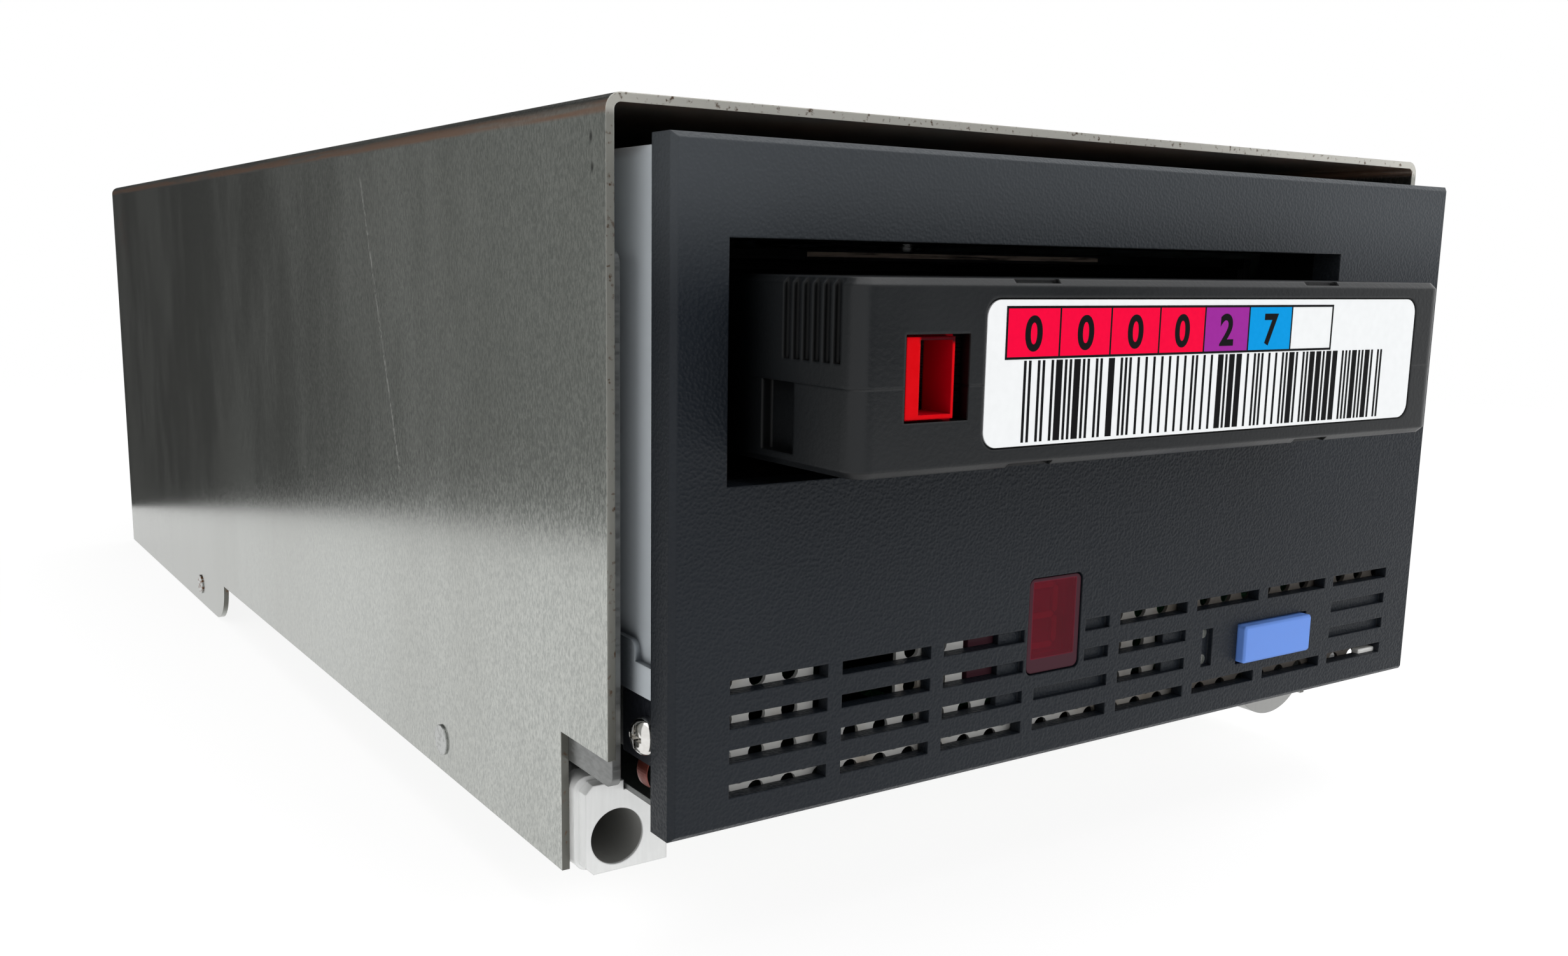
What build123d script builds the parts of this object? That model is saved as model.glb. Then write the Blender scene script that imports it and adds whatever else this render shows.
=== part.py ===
from build123d import *

import os
from math import acos, atan2, cos, degrees, pi, radians, sin, sqrt, tan

# Full-height data tape drive in a folded steel library sled, with a cartridge standing part-way out.
# Millimetres, +Z up, the bezel faces -Y. Until the export every piece is placed from the bezel:
# X = 0 is its centre line, Y = 0 its front face and Z = 0 its bottom edge. The cartridge and the
# mechanism round it set the size of the drive, the bezel and the sled.

# Clearances
BODY_GAP = 0.3  # between pieces that move against each other
RUNNING = 0.05  # radial play of a shaft in its bore

# Cartridge
CART_W = 105.4
CART_L = 102.0
CART_X = -10.9  # its middle lies left of the drive's centre line
CART_FRONT = -20.45
CART_WALL = 1.6
CART_CORNER = 2.5
CART_EDGE = 0.8
LOWER_SHELL_H = 9.7
LABEL_SIDE_LEFT = 18.1
LABEL_SIDE_RIGHT = 6.4
LABEL_SIDE_LOW = 2.5
LABEL_SIDE_TOP = 2.3
LABEL_CORNER = 2.0
LABEL_RECESS = 0.3
LABEL_PLAY = 0.2
LABEL_T = 0.25
RIB_COUNT = 6
RIB_PITCH = 1.92
RIB_FIRST = 2.9  # from the cartridge's front to the first rib groove
RIB_GROOVE = 1.3
RIB_DEPTH = 0.6
RIB_H = 9.2
GRIP_NOTCH_FRONT = 11.5  # of the gripper's notch low on each side, behind the front
GRIP_NOTCH_L = 6.4
GRIP_NOTCH_DEPTH = 1.4
GRIP_NOTCH_LIFT = 1.6
GRIP_NOTCH_WALL = 1.2
CLIP_X = (-26.8, 25.2)  # of the shells' clips at the front edges, from the cartridge's middle
CLIP_W = 7.0
CLIP_DEPTH = 1.4
CLIP_H = 0.5
TAB_WINDOW_SIDE = 6.6
TAB_WINDOW_W = 9.1
TAB_WINDOW_LOW = 5.9
TAB_WINDOW_H = 9.6
PROTECT_BAR = 1.9
PROTECT_RIM = 0.35
PROTECT_LIP = 0.5
PROTECT_TRAVEL = 1.7
PROTECT_DEPTH = 5.0
PROTECT_FLANGE = 1.0
REEL_ROOM = 2.4  # from the reel's flanges to the shell's wall
REEL_HEADROOM = 2.55
REEL_HUB_R = 22.0
REEL_HUB_WALL = 3.0
REEL_FOOT_H = 0.8
HUB_PLATE_LIFT = 1.6
TAPE_MARGIN = 4.0  # from the outermost turn to the flange's rim
TAPE_WIDTH = 12.65
FLANGE_T = 1.0
HUB_HOLE_R = 13.5
DOOR_OPENING = 16.0
DOOR_MARGIN = 1.5  # cover of the door past its opening
DOOR_GRIP = 1.5
DOOR_T = 1.0
DOOR_GRIP_INSET = 3.0
LEADER_PIN_R = 1.25
LEADER_PIN_INSET = 4.2
LEADER_SOCKET_WALL = 1.2
LEADER_SOCKET_H = 1.0

# Loader
LOAD_TRAVEL = 32.0
TRAY_DROP = 2.4
TRAY_SHEET = 1.2
TRAY_FRONT = 16.0
TRAY_STOP = 2.45  # from the cartridge's rear to the end of the tray
TRAY_CHANNEL_R = 14.0
SLIDER_SHEET = 1.5
SLIDER_BAR_W = 14.0
SLIDER_BAR_T = 1.3
SLIDER_BAR_INSET = 4.0
TONGUE_LIFT = 4.0  # above the cartridge's underside, as the next three
CAM_PIN_LIFT = 11.0
GUIDE_RAIL_TOP_LIFT = 12.0
GUIDE_RAIL_LOW_LIFT = -2.0
TONGUE_H = 2.0
TONGUE_DEPTH = 1.3
TONGUE_INSET = 2.0
GUIDE_RAIL_T = 2.0
RAIL_WEB_T = 3.0
RAIL_FOOT_W = 9.0
RAIL_FOOT_T = 2.0
CAM_PIN_R = 1.2
CAM_PIN_INSET = 14.0
GEAR_MODULE = 0.8
GEAR_TEETH = 20
MOTOR_TEETH = 12
ADDENDUM = 0.8  # in modules
DEDENDUM = 1.15
BACKLASH = 0.2
PRESSURE_ANGLE = 20.0
RACK_LEAD = 7.04  # from the slider's front to its first tooth
RACK_SPARE = 10.7  # rack length past the travel
GEAR_LIFT = 2.0
GEAR_WIDTH = 3.5
GEAR_AXLE_R = 1.5
MOTOR_R = 5.9
MOTOR_LIFT = 0.4
MOTOR_LENGTH = 21.0
MOTOR_SHAFT_R = 0.9
MOTOR_SHAFT_PAST = 5.0
MOTOR_CRADLE_W = 10.0
MOTOR_CRADLE_INSET = 3.0

# Reel motors and tape path
STATOR_R = 24.0
STATOR_H = 10.0
MOTOR_ROTOR_R = 27.0
MOTOR_ROTOR_T = 3.0
REEL_SHAFT_R = 3.0
REEL_SHAFT_LIFT = 1.0
CLUTCH_R = 9.6
CLUTCH_NOSE = 7.0
CLUTCH_TEETH = 12
CLUTCH_TOOTH_L = 3.2
CLUTCH_TOOTH_W = 1.4
CLUTCH_TOOTH_H = 0.9
TAKEUP_SMALLER = 5.5  # flange radius less than the supply reel's
TAKEUP_HUB_R = 20.0
TAKEUP_PLAY = 0.4
TAKEUP_POCKET_W = 4.0
TAKEUP_CLEAR = 2.0
TAKEUP_FROM_RODS = 53.0
REAR_ROOM = 4.0
HEAD_CLEAR = 21.0  # from the loaded tray to the middle of the head
HEAD_FACE_INSET = 14.0
HEAD_FACE_TO_ROD = 14.2
HEAD_ROD_R = 1.5
HEAD_ROD_PITCH = 11.0
HEAD_ROD_TOP = 45.0
HEAD_FOOT_H = 14.0
HEAD_END = 3.0
HEAD_BRIDGE_T = 2.0
HEAD_BACK = 3.5
HEAD_NOSE = 4.0
HEAD_GROOVE = 0.8
HEAD_BELOW_TAPE = 2.5
HEAD_ABOVE_TAPE = 1.5
ROLLER_OFFSETS = ((-1.2, -26.5), (5.3, -13.0), (5.3, 13.0), (-3.2, 27.5))  # from the head's face
ROLLER_R = 4.5
ROLLER_FLANGE_R = 5.8
ROLLER_FLANGE_T = 1.2
ROLLER_BEVEL = 0.4
ROLLER_H = 16.6
ROLLER_POST_R = 1.5
ROLLER_POST_PAST = 1.5
THREADER_INSET = 9.2
THREADER_BEHIND = 43.0
THREADER_CLEAR = 1.0
THREADER_T = 1.8
THREADER_REACH = 74.0
THREADER_ANGLE = 258.4
THREADER_PIVOT_R = 2.0
THREADER_POST_R = 4.0
THREADER_W = 5.0
THREADER_EYE_R = 4.5
THREADER_HOOK_R = 1.8
THREADER_SLOT_W = 1.6

# Drive body
COVER_SHEET = 0.8
COVER_BEND = 1.6
COVER_SINK = 0.9  # of the cover's roof below the bezel's top
SKIRT_BOTTOM = 16.4
LIP_FRONT = 9.4  # joggled lip low on each side of the cover
LIP_REAR = 40.0
LIP_TOP = 22.9
LIP_STEP_TOP = 20.4
LIP_T = 0.8
LIP_CORNER = 1.4
BASE_WALL = 3.0
BASE_FLOOR = 20.0
BASE_FLOOR_T = 3.0
BASE_FILLET = 1.0
BASE_RIB_X = (-45.0, 0.0, 45.0)
BASE_RIB_H = 3.0
BASE_RIB_T = 2.0
BASE_CUT_REAR = 25.0  # open corner low at the front of each side wall
BASE_CUT_TOP = 7.5
BOTTOM_PLATE_Z = 0.2
BOTTOM_PLATE_T = 0.8
BOTTOM_PLATE_INSET = 2.7
BOTTOM_PLATE_SHORT = 2.0
SCREW_BITE = 0.8  # of the base's wall
FRAME_SCREW_DROP = 5.0
FRAME_SCREW_R = 1.2
FRAME_HEAD_R = 2.45
FRAME_HEAD_H = 2.0
FRAME_HEAD_PLAY = 0.15
FRAME_HEAD_ROUND = 1.5
CROSS_L = 3.0
CROSS_W = 0.65
CROSS_DEPTH = 1.1
MAIN_BOARD_Z = 5.2
MAIN_BOARD_SHORT = 8.0
MAIN_CHIPS = (  # x, y, side and height
    (-30.0, 60.0, 24.0, 2.0),
    (20.0, 70.0, 30.0, 2.4),
    (30.0, 130.0, 22.0, 2.0),
    (-40.0, 130.0, 18.0, 5.0),
)
HOST_PLUG_X = -12.0
HOST_PLUG_W = 36.0
HOST_PLUG_H = 7.0
HOST_PLUG_REAR = 5.0
HOST_PLUG_WALL = 2.0
HOST_OPENING_SIDE = 15.0
HOST_OPENING_ABOVE = 1.8

# Bezel
BEZEL_OVERHANG = 1.15
BEZEL_BROW = 11.4
BEZEL_T = 4.8
BEZEL_EDGE = 0.7
BEZEL_FACE_T = 2.0  # of its wall round the vents, where it is pocketed from behind
BEZEL_POCKET_SIDE = 0.85
BEZEL_POCKET_LOW = 1.6
SLOT_SIDE_LEFT = 3.1
SLOT_SIDE_RIGHT = 4.6
SLOT_SIDE_LOW = 3.2
SLOT_SIDE_TOP = 4.1
THROAT_CLEAR = 0.8
THROAT_WALL = 1.5
VENT_COLUMNS = 8
VENT_BAR_X = 2.23
VENT_H = 1.75
VENT_BAR_Z = 2.65
VENT_SIDE_LEFT = 8.25
VENT_SIDE_RIGHT = 7.65
VENT_BOTTOM_ROW = 5.05
VENT_BLIND_DEPTH = 0.9
VENT_STUB_LEFT = 0.66  # shares of a vent's width
VENT_STUB_RIGHT = 0.72
LED_SLIT_X = 21.15
LED_SLIT_Z = 11.2
LED_SLIT_W = 2.4
LED_SLIT_H = 6.0
LED_PITCH = 4.2
LED_R = 0.8
GRILLE_GAP = 0.3
GRILLE_T = 0.6
GRILLE_CUT_LEFT = -52.0
GRILLE_CUT_RIGHT = -38.6
GRILLE_CUT_LOW = 11.6
GRILLE_CUT_TOP = 20.2
GRILLE_TOP_MARGIN = 1.85
GRILLE_EAR = 11.8
GRILLE_HOLE_R = 1.5
GRILLE_PITCH = 8.8
GRILLE_HOLES = 15

# Display
WINDOW_X = -11.95
WINDOW_Z = 19.3
WINDOW_W = 9.9
WINDOW_H = 13.6
WINDOW_CORNER = 1.0
WINDOW_SINK = 0.2
WINDOW_PLAY = 0.2
WINDOW_FLANGE = 1.0
WINDOW_FLANGE_T = 1.2
WINDOW_TAIL = 9.4  # of its flange past the pane, behind the vents
WINDOW_TAIL_H = 8.7
DIGIT_INSET_X = 1.55
DIGIT_INSET_Z = 1.8
DIGIT_GAP = 0.4
SEGMENT_T = 0.9
SEGMENT_PROUD = 0.2

# Eject button, switch and front board
BUTTON_X = 36.75
BUTTON_Z = 10.8
BUTTON_W = 16.5
BUTTON_H = 6.0
BUTTON_PROUD = 1.4
BUTTON_TRAVEL = 1.0
BUTTON_FLANGE = 1.1
BUTTON_BOSS = 0.7  # bezel left thick round the key, for its flange to stop against
BUTTON_FLANGE_T = 0.8
BUTTON_CORNER = 0.5
BUTTON_EDGE = 0.3
STEM_W = 3.6
STEM_H = 2.8
STEM_L = 1.2
SWITCH_GAP = 0.2
SWITCH_SIZE = 6.0
SWITCH_BODY_T = 0.6
PLUNGER_R = 1.6
FRONT_BOARD_GAP = 4.7
FRONT_BOARD_T = 1.2
FRONT_BOARD_END = 11.0
FRONT_BOARD_LOW = 1.3
FRONT_BOARD_TOP = 1.4
FRONT_BOARD_CORNER = 1.0
FRONT_POST_R = 2.0
FRONT_POST_INSET = 4.0

# Sled: folded cover, base pan, guide blocks
SLED_SHEET = 1.1
SLED_BEND = 2.0  # outer radius of the folds
SLED_HEADROOM = 5.5
SLED_UNDERROOM = 11.0
HOST_BAY = 126.6  # length of the sled behind the drive
WALL_FRONT = 8.7  # front edge of the top and of the upper walls
NOTCH_TOP = 8.4
LOWER_WALL_FRONT = 22.0
TAB_LENGTH = 122.3
TAB_DROP = 9.4
TAB_RADIUS = 9.0
PAN_FLANGE = 14.0
PAN_FRONT = 24.0
RIVET_R = 1.6
RIVET_HEAD_R = 2.4
RIVET_HEAD_H = 0.3
RIVET_INSET = 5.1  # of the pan's rivet above the sled's bottom edge
RIVET_FRONT_Y = 65.6
TAB_RIVET_BACK = 25.7
TAB_RIVET_LIFT = 4.9

# Inner rails that carry the drive
RAIL_SHEET = 1.2
RAIL_CLEAR = 0.65  # beside the drive's screw heads
RAIL_FRONT = 9.7
RAIL_REAR = 190.0
RAIL_TOP = 70.0
RAIL_CORNER = 1.5
RAIL_BOSS_R = 5.0
RAIL_BOSS_DROP = 1.1
RAIL_MARGIN = 1.0
MOUNT_SCREW_Y = (47.4, 126.6)
MOUNT_SCREW_R = 1.5
MOUNT_HEAD_R = 2.75
MOUNT_HEAD_H = 1.9

# Guide blocks at the front of the pan
GUIDE_FRONT = 18.6
GUIDE_LENGTH = 16.0
GUIDE_FLANGE_T = 2.0
GUIDE_W = 12.05
GUIDE_RISE = 1.3  # above the drive's underside
GUIDE_CHAMFER = 1.1
GUIDE_FLANGE_CORNER = 1.9
GUIDE_FLANGE_LIP = 0.7
GUIDE_BORE_R = 3.85
GUIDE_BORE_INSET = 4.6
GUIDE_BORE_LIFT = 4.7
LUG_FRONT = 17.2
LUG_R = 10.0
LUG_INSET = 15.95
LUG_LIFT = 9.0
LUG_SLOT_W = 11.0
LUG_SLOT_H = 5.6
LUG_SLOT_DROP = 4.2

# Rear panel, fan and host ports
PANEL_INSET = 1.0
PANEL_FLANGE = 11.0
FAN_SIZE = 60.0
FAN_DEPTH = 25.0
FAN_X = -36.0
FAN_Z = 44.0
FAN_RIM = 1.5
FAN_CORNER = 2.0
FAN_HUB_R = 15.0
FAN_TIP_GAP = 1.0
FAN_STRUT_T = 3.0
FAN_STRUT_W = 3.0
FAN_BLADES = 7
FAN_BLADE_T = 1.4
FAN_BLADE_ANGLE = 38.0
FAN_SHAFT_R = 1.5
FAN_SCREW_INSET = 5.0
FAN_HOLE_R = 2.2
GRILLE_RING_SHARES = (0.32, 0.56, 0.81)  # of the fan's duct
GRILLE_SLOT = 4.4
GRILLE_SPOKE = 3.0
PORT_X = (22.0, 40.0)
PORT_W = 14.0
PORT_H = 10.6
PORT_LENGTH = 48.0
PORT_WALL = 0.7
POWER_X = 60.0
POWER_W = 14.0
POWER_H = 12.0
POWER_LENGTH = 18.0
POWER_WELL = 3.6
POWER_WELL_DEPTH = 9.0
BOARD_T = 1.6
BOARD_LIFT = 9.7
BOARD_BEHIND_DRIVE = 14.0
BOARD_SIDE = 8.85
BOARD_CHIPS = (  # x, distance behind the board's front, side and height
    (-18.0, 30.0, 24.0, 2.2),
    (16.0, 21.0, 15.0, 1.6),
    (-46.0, 31.0, 12.0, 6.0),
)
STANDOFF_R = 2.5
STANDOFF_SIDE = 8.0
STANDOFF_FRONT = 10.0
STANDOFF_REAR = 22.3

# Places worked out from the sizes above, from the cartridge outwards
CART_H = 2 * CART_WALL + BODY_GAP + REEL_FOOT_H + 2 * FLANGE_T + TAPE_WIDTH + REEL_HEADROOM
CART_LEFT = CART_X - CART_W / 2
CART_RIGHT = CART_X + CART_W / 2
CART_REAR = CART_FRONT + CART_L
HUB_Y = CART_FRONT + CART_L / 2
REEL_FLANGE_R = min(CART_W, CART_L) / 2 - CART_WALL - REEL_ROOM
TAPE_R = REEL_FLANGE_R - TAPE_MARGIN
DOOR_LENGTH = DOOR_OPENING + 2 * DOOR_MARGIN
DOOR_FRONT = CART_REAR - CART_WALL - CART_CORNER - DOOR_LENGTH  # short of the shell's rounded corner
LEADER_PIN_X = CART_RIGHT - CART_WALL - DOOR_T - LEADER_PIN_INSET
LEADER_PIN_Y = DOOR_FRONT + DOOR_LENGTH / 2
PROTECT_W = TAB_WINDOW_W - 2 * BODY_GAP - PROTECT_TRAVEL

FLOOR_TOP = BASE_FLOOR + BASE_FLOOR_T
ROTOR_LOW = FLOOR_TOP + STATOR_H + BODY_GAP
CLUTCH_TOP = ROTOR_LOW + MOTOR_ROTOR_T + CLUTCH_NOSE
CART_BOTTOM = CLUTCH_TOP + BODY_GAP + TRAY_DROP
CART_TOP = CART_BOTTOM + CART_H
CART_PARTING = CART_BOTTOM + LOWER_SHELL_H
TAB_WINDOW_LEFT = CART_LEFT + TAB_WINDOW_SIDE
TAB_WINDOW_RIGHT = TAB_WINDOW_LEFT + TAB_WINDOW_W
TAB_WINDOW_BOTTOM = CART_BOTTOM + TAB_WINDOW_LOW
TAB_WINDOW_TOP = TAB_WINDOW_BOTTOM + TAB_WINDOW_H

CLUTCH_Y = HUB_Y + LOAD_TRAVEL
TRAY_REAR = CART_REAR + TRAY_STOP
TRAY_SIDE_END = DOOR_FRONT - TRAY_STOP  # the right wall stops short of the cartridge's door
TRAY_MIDDLE = (TRAY_FRONT + TRAY_SIDE_END) / 2
TRAY_INNER_LEFT = CART_LEFT - BODY_GAP
TRAY_INNER_RIGHT = CART_RIGHT + BODY_GAP
TRAY_LEFT = TRAY_INNER_LEFT - TRAY_SHEET
TRAY_RIGHT = TRAY_INNER_RIGHT + TRAY_SHEET
TRAY_FLOOR_TOP = CART_BOTTOM - BODY_GAP
TRAY_FLOOR = TRAY_FLOOR_TOP - TRAY_SHEET
TRAY_ROOF = CART_TOP + BODY_GAP
SLIDER_LEFT = TRAY_LEFT - BODY_GAP
SLIDER_RIGHT = TRAY_RIGHT + BODY_GAP
SLIDER_OUTER_LEFT = SLIDER_LEFT - SLIDER_SHEET
SLIDER_OUTER_RIGHT = SLIDER_RIGHT + SLIDER_SHEET
SLIDER_BAR_LOW = TRAY_ROOF + TRAY_SHEET + BODY_GAP
SLIDER_TOP = SLIDER_BAR_LOW + SLIDER_BAR_T
TONGUE_Z = CART_BOTTOM + TONGUE_LIFT
CAM_PIN_Z = CART_BOTTOM + CAM_PIN_LIFT
RACK_PITCH = pi * GEAR_MODULE
RACK_TEETH = round((LOAD_TRAVEL + RACK_SPARE) / RACK_PITCH)
GEAR_Y = TRAY_FRONT + RACK_LEAD + (RACK_TEETH - 1.5) * RACK_PITCH
GEAR_Z = FLOOR_TOP + GEAR_LIFT + GEAR_MODULE * GEAR_TEETH / 2
RACK_Z = GEAR_Z + GEAR_MODULE * GEAR_TEETH / 2
MOTOR_Z = FLOOR_TOP + MOTOR_R + MOTOR_LIFT

BASE_INNER = GUIDE_RAIL_T + BODY_GAP - SLIDER_OUTER_LEFT
COVER_INNER = BASE_INNER + BASE_WALL
DRIVE_HALF = COVER_INNER + COVER_SHEET
BASE_BOTTOM = BOTTOM_PLATE_Z + BOTTOM_PLATE_T
BASE_TOP = CART_BOTTOM + GUIDE_RAIL_TOP_LIFT
BOTTOM_PLATE_HALF = DRIVE_HALF - BOTTOM_PLATE_INSET
SCREW_DEPTH = BASE_WALL * SCREW_BITE

TAKEUP_FLANGE_R = REEL_FLANGE_R - TAKEUP_SMALLER
TAPE_LOW = CART_BOTTOM - TRAY_DROP + CART_WALL + BODY_GAP + REEL_FOOT_H + FLANGE_T
HEAD_FACE_X = BASE_INNER - HEAD_FACE_INSET
HEAD_ROD_X = HEAD_FACE_X - HEAD_FACE_TO_ROD
HEAD_Y = TRAY_REAR + LOAD_TRAVEL + HEAD_CLEAR
HEAD_RODS = (HEAD_Y - HEAD_ROD_PITCH / 2, HEAD_Y + HEAD_ROD_PITCH / 2)
TAKEUP_X = HEAD_ROD_X - TAKEUP_FROM_RODS
TAKEUP_Y = TRAY_REAR + LOAD_TRAVEL + TAKEUP_CLEAR + TAKEUP_FLANGE_R
ROLLER_CENTRES = [(HEAD_FACE_X + x, HEAD_Y + y) for x, y in ROLLER_OFFSETS]
THREADER_X = BASE_INNER - THREADER_INSET
THREADER_Y = HEAD_Y + THREADER_BEHIND
THREADER_Z = SLIDER_TOP + THREADER_CLEAR
DRIVE_REAR = TAKEUP_Y + TAKEUP_FLANGE_R + REAR_ROOM + BASE_WALL

BEZEL_HALF = DRIVE_HALF + BEZEL_OVERHANG
SLOT_LEFT = CART_LEFT - SLOT_SIDE_LEFT
SLOT_RIGHT = CART_RIGHT + SLOT_SIDE_RIGHT
SLOT_BOTTOM = CART_BOTTOM - SLOT_SIDE_LOW
SLOT_TOP = CART_TOP + SLOT_SIDE_TOP
BEZEL_H = SLOT_TOP + BEZEL_BROW
COVER_TOP = BEZEL_H - COVER_SINK
THROAT_REAR = TRAY_FRONT - THROAT_CLEAR
VENT_SPAN = 2 * BEZEL_HALF - VENT_SIDE_LEFT - VENT_SIDE_RIGHT
VENT_W = (VENT_SPAN - (VENT_COLUMNS - 1) * VENT_BAR_X) / VENT_COLUMNS
VENT_PITCH_X = VENT_W + VENT_BAR_X
VENT_PITCH_Z = VENT_H + VENT_BAR_Z
DIGIT_W = WINDOW_W - 2 * DIGIT_INSET_X
DIGIT_H = WINDOW_H - 2 * DIGIT_INSET_Z
BUTTON_FLANGE_Y = BEZEL_T + BODY_GAP
BUTTON_STEM_Y = BUTTON_FLANGE_Y + BUTTON_FLANGE_T
WINDOW_REAR = BEZEL_FACE_T + WINDOW_FLANGE_T
FRONT_BOARD_Y = BEZEL_T + FRONT_BOARD_GAP
FRONT_BOARD_REAR = FRONT_BOARD_Y + FRONT_BOARD_T
FRONT_BOARD_LEFT = WINDOW_X - WINDOW_W / 2 - FRONT_BOARD_END
FRONT_BOARD_RIGHT = BUTTON_X + BUTTON_W / 2 + FRONT_BOARD_END
FRONT_BOARD_BOTTOM = BUTTON_Z - BUTTON_H / 2 - FRONT_BOARD_LOW
FRONT_BOARD_UPPER = WINDOW_Z + WINDOW_H / 2 + FRONT_BOARD_TOP
FRONT_POSTS = (FRONT_BOARD_LEFT + FRONT_POST_INSET, FRONT_BOARD_RIGHT - FRONT_POST_INSET)
BASE_FLOOR_FRONT = FRONT_BOARD_REAR + RAIL_CLEAR * 2
GRILLE_Y = BEZEL_FACE_T + GRILLE_GAP
GRILLE_TOP = VENT_BOTTOM_ROW + 3 * VENT_PITCH_Z + VENT_H / 2 + GRILLE_TOP_MARGIN
POCKET_TOP = GRILLE_TOP + GRILLE_GAP
STUB_VENTS = ((2, 1), (2, 2), (2, 3), (4, 1), (4, 2))  # column and row, open at the left only
FRAME_SCREW_Y = BEZEL_T + FRAME_HEAD_R + FRAME_HEAD_PLAY
FRAME_SCREW_Z = SKIRT_BOTTOM - FRAME_SCREW_DROP

SLED_INNER = DRIVE_HALF + FRAME_HEAD_H + RAIL_CLEAR + RAIL_SHEET
SLED_HALF = SLED_INNER + SLED_SHEET
SLED_TOP = COVER_TOP + SLED_HEADROOM
SLED_REAR = DRIVE_REAR + HOST_BAY
WALL_BOTTOM = BOTTOM_PLATE_Z - SLED_UNDERROOM
PAN_TOP = WALL_BOTTOM + SLED_SHEET
TAB_FRONT = SLED_REAR - TAB_LENGTH
TAB_BOTTOM = WALL_BOTTOM - TAB_DROP
TAB_RIVET = (TAB_FRONT + TAB_RIVET_BACK, TAB_BOTTOM + TAB_RIVET_LIFT)
MOUNT_SCREW_Z = SKIRT_BOTTOM - RAIL_BOSS_R - RAIL_BOSS_DROP
RAIL_BOTTOM = MOUNT_SCREW_Z - RAIL_BOSS_R - RAIL_MARGIN
MOUNT_SEAT = COVER_INNER + RAIL_SHEET
GUIDE_LEFT_EDGE = GUIDE_FLANGE_LIP - SLED_INNER
GUIDE_RIGHT_EDGE = GUIDE_LEFT_EDGE + GUIDE_W
GUIDE_TOP = BOTTOM_PLATE_Z + GUIDE_RISE
GUIDE_BORE_X = GUIDE_LEFT_EDGE + GUIDE_BORE_INSET
GUIDE_BORE_Z = WALL_BOTTOM + GUIDE_BORE_LIFT
LUG_X = SLED_INNER - LUG_INSET
LUG_Z = PAN_TOP + LUG_LIFT
LUG_SLOT_Z = LUG_Z - LUG_SLOT_DROP
PANEL_FACE = SLED_REAR - PANEL_INSET
PANEL_FRONT = PANEL_FACE - PANEL_FLANGE
PANEL_BACK = PANEL_FACE - SLED_SHEET
PANEL_TOP = SLED_TOP - SLED_SHEET
FAN_DUCT_R = FAN_SIZE / 2 - FAN_RIM
FAN_ROTOR_R = FAN_DUCT_R - FAN_TIP_GAP
FAN_FRONT = PANEL_BACK - FAN_DEPTH
FAN_STRUT_Y = PANEL_BACK - FAN_STRUT_T
HOST_BOARD_Z = PAN_TOP + BOARD_LIFT
HOST_SEAT = HOST_BOARD_Z + BOARD_T
HOST_BOARD_FRONT = DRIVE_REAR + BOARD_BEHIND_DRIVE
HOST_BOARD_REAR = PANEL_FRONT - BODY_GAP
HOST_BOARD_HALF = SLED_INNER - BOARD_SIDE
STANDOFFS = [
    (side * (HOST_BOARD_HALF - STANDOFF_SIDE), y)
    for side in (-1, 1)
    for y in (HOST_BOARD_FRONT + STANDOFF_FRONT, HOST_BOARD_REAR - STANDOFF_REAR)
]


def rect(u0, u1, v0, v1, corner=0.0):
    """Rectangle between two corners, with rounded corners if a radius is given."""
    width = u1 - u0
    height = v1 - v0
    shape = RectangleRounded(width, height, corner) if corner else Rectangle(width, height)
    return Pos((u0 + u1) / 2, (v0 + v1) / 2) * shape


def disc(u, v, radius):
    """Circle about a point."""
    return Pos(u, v) * Circle(radius)


def along_x(sketch, x0, x1):
    """Extrude a sketch drawn in Y and Z from x0 to x1."""
    return extrude(Plane.YZ.offset(x0) * sketch, amount=x1 - x0)


def along_y(sketch, y0, y1):
    """Extrude a sketch drawn in X and Z from y0 to y1."""
    return extrude(Plane.XZ.offset(-y0) * sketch, amount=y0 - y1)


def along_z(sketch, z0, z1):
    """Extrude a sketch drawn in X and Y from z0 to z1."""
    return extrude(Plane.XY.offset(z0) * sketch, amount=z1 - z0)


def block(x0, x1, y0, y1, z0, z1):
    """Plain block between two corners."""
    return along_z(rect(x0, x1, y0, y1), z0, z1)


def turned(profile, x, y):
    """Revolve a list of (radius, z) points about the upright axis through x, y."""
    face = make_face(Polyline([(r, z) for r, z in profile], close=True))
    return Pos(x, y, 0) * revolve(Plane.XZ * face, Axis.Z)


def gear_sketch(module, teeth, bore, phase):
    """Involute spur gear about the origin, with one tooth centred on the angle phase."""
    pitch_r = module * teeth / 2
    base_r = pitch_r * cos(radians(PRESSURE_ANGLE))
    root_r = pitch_r - DEDENDUM * module
    tip_r = pitch_r + ADDENDUM * module
    pressure = radians(PRESSURE_ANGLE)
    half_pitch_tooth = pi / (2 * teeth) - BACKLASH / (4 * pitch_r)

    def half_angle(radius):
        angle = acos(min(1.0, base_r / radius))
        return half_pitch_tooth + (tan(pressure) - pressure) - (tan(angle) - angle)

    flank = [(root_r, half_angle(base_r))]
    flank += [(r, half_angle(r)) for r in (base_r, pitch_r, tip_r)]
    points = []
    for tooth in range(teeth):
        centre = radians(phase) + 2 * pi * tooth / teeth
        points += [(r * cos(centre - a), r * sin(centre - a)) for r, a in flank]
        points += [(r * cos(centre + a), r * sin(centre + a)) for r, a in reversed(flank)]
    return make_face(Polyline(points, close=True)) - Circle(bore)


def meshing_phase(driver_teeth, driver_phase, teeth, direction):
    """Tooth angle of a gear that meshes with a driver, seen from the driver in a direction."""
    pitch = 360 / driver_teeth
    lead = (driver_phase - direction + pitch / 2) % pitch - pitch / 2
    return direction + 180 - lead * driver_teeth / teeth + 180 / teeth


# Sled


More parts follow.
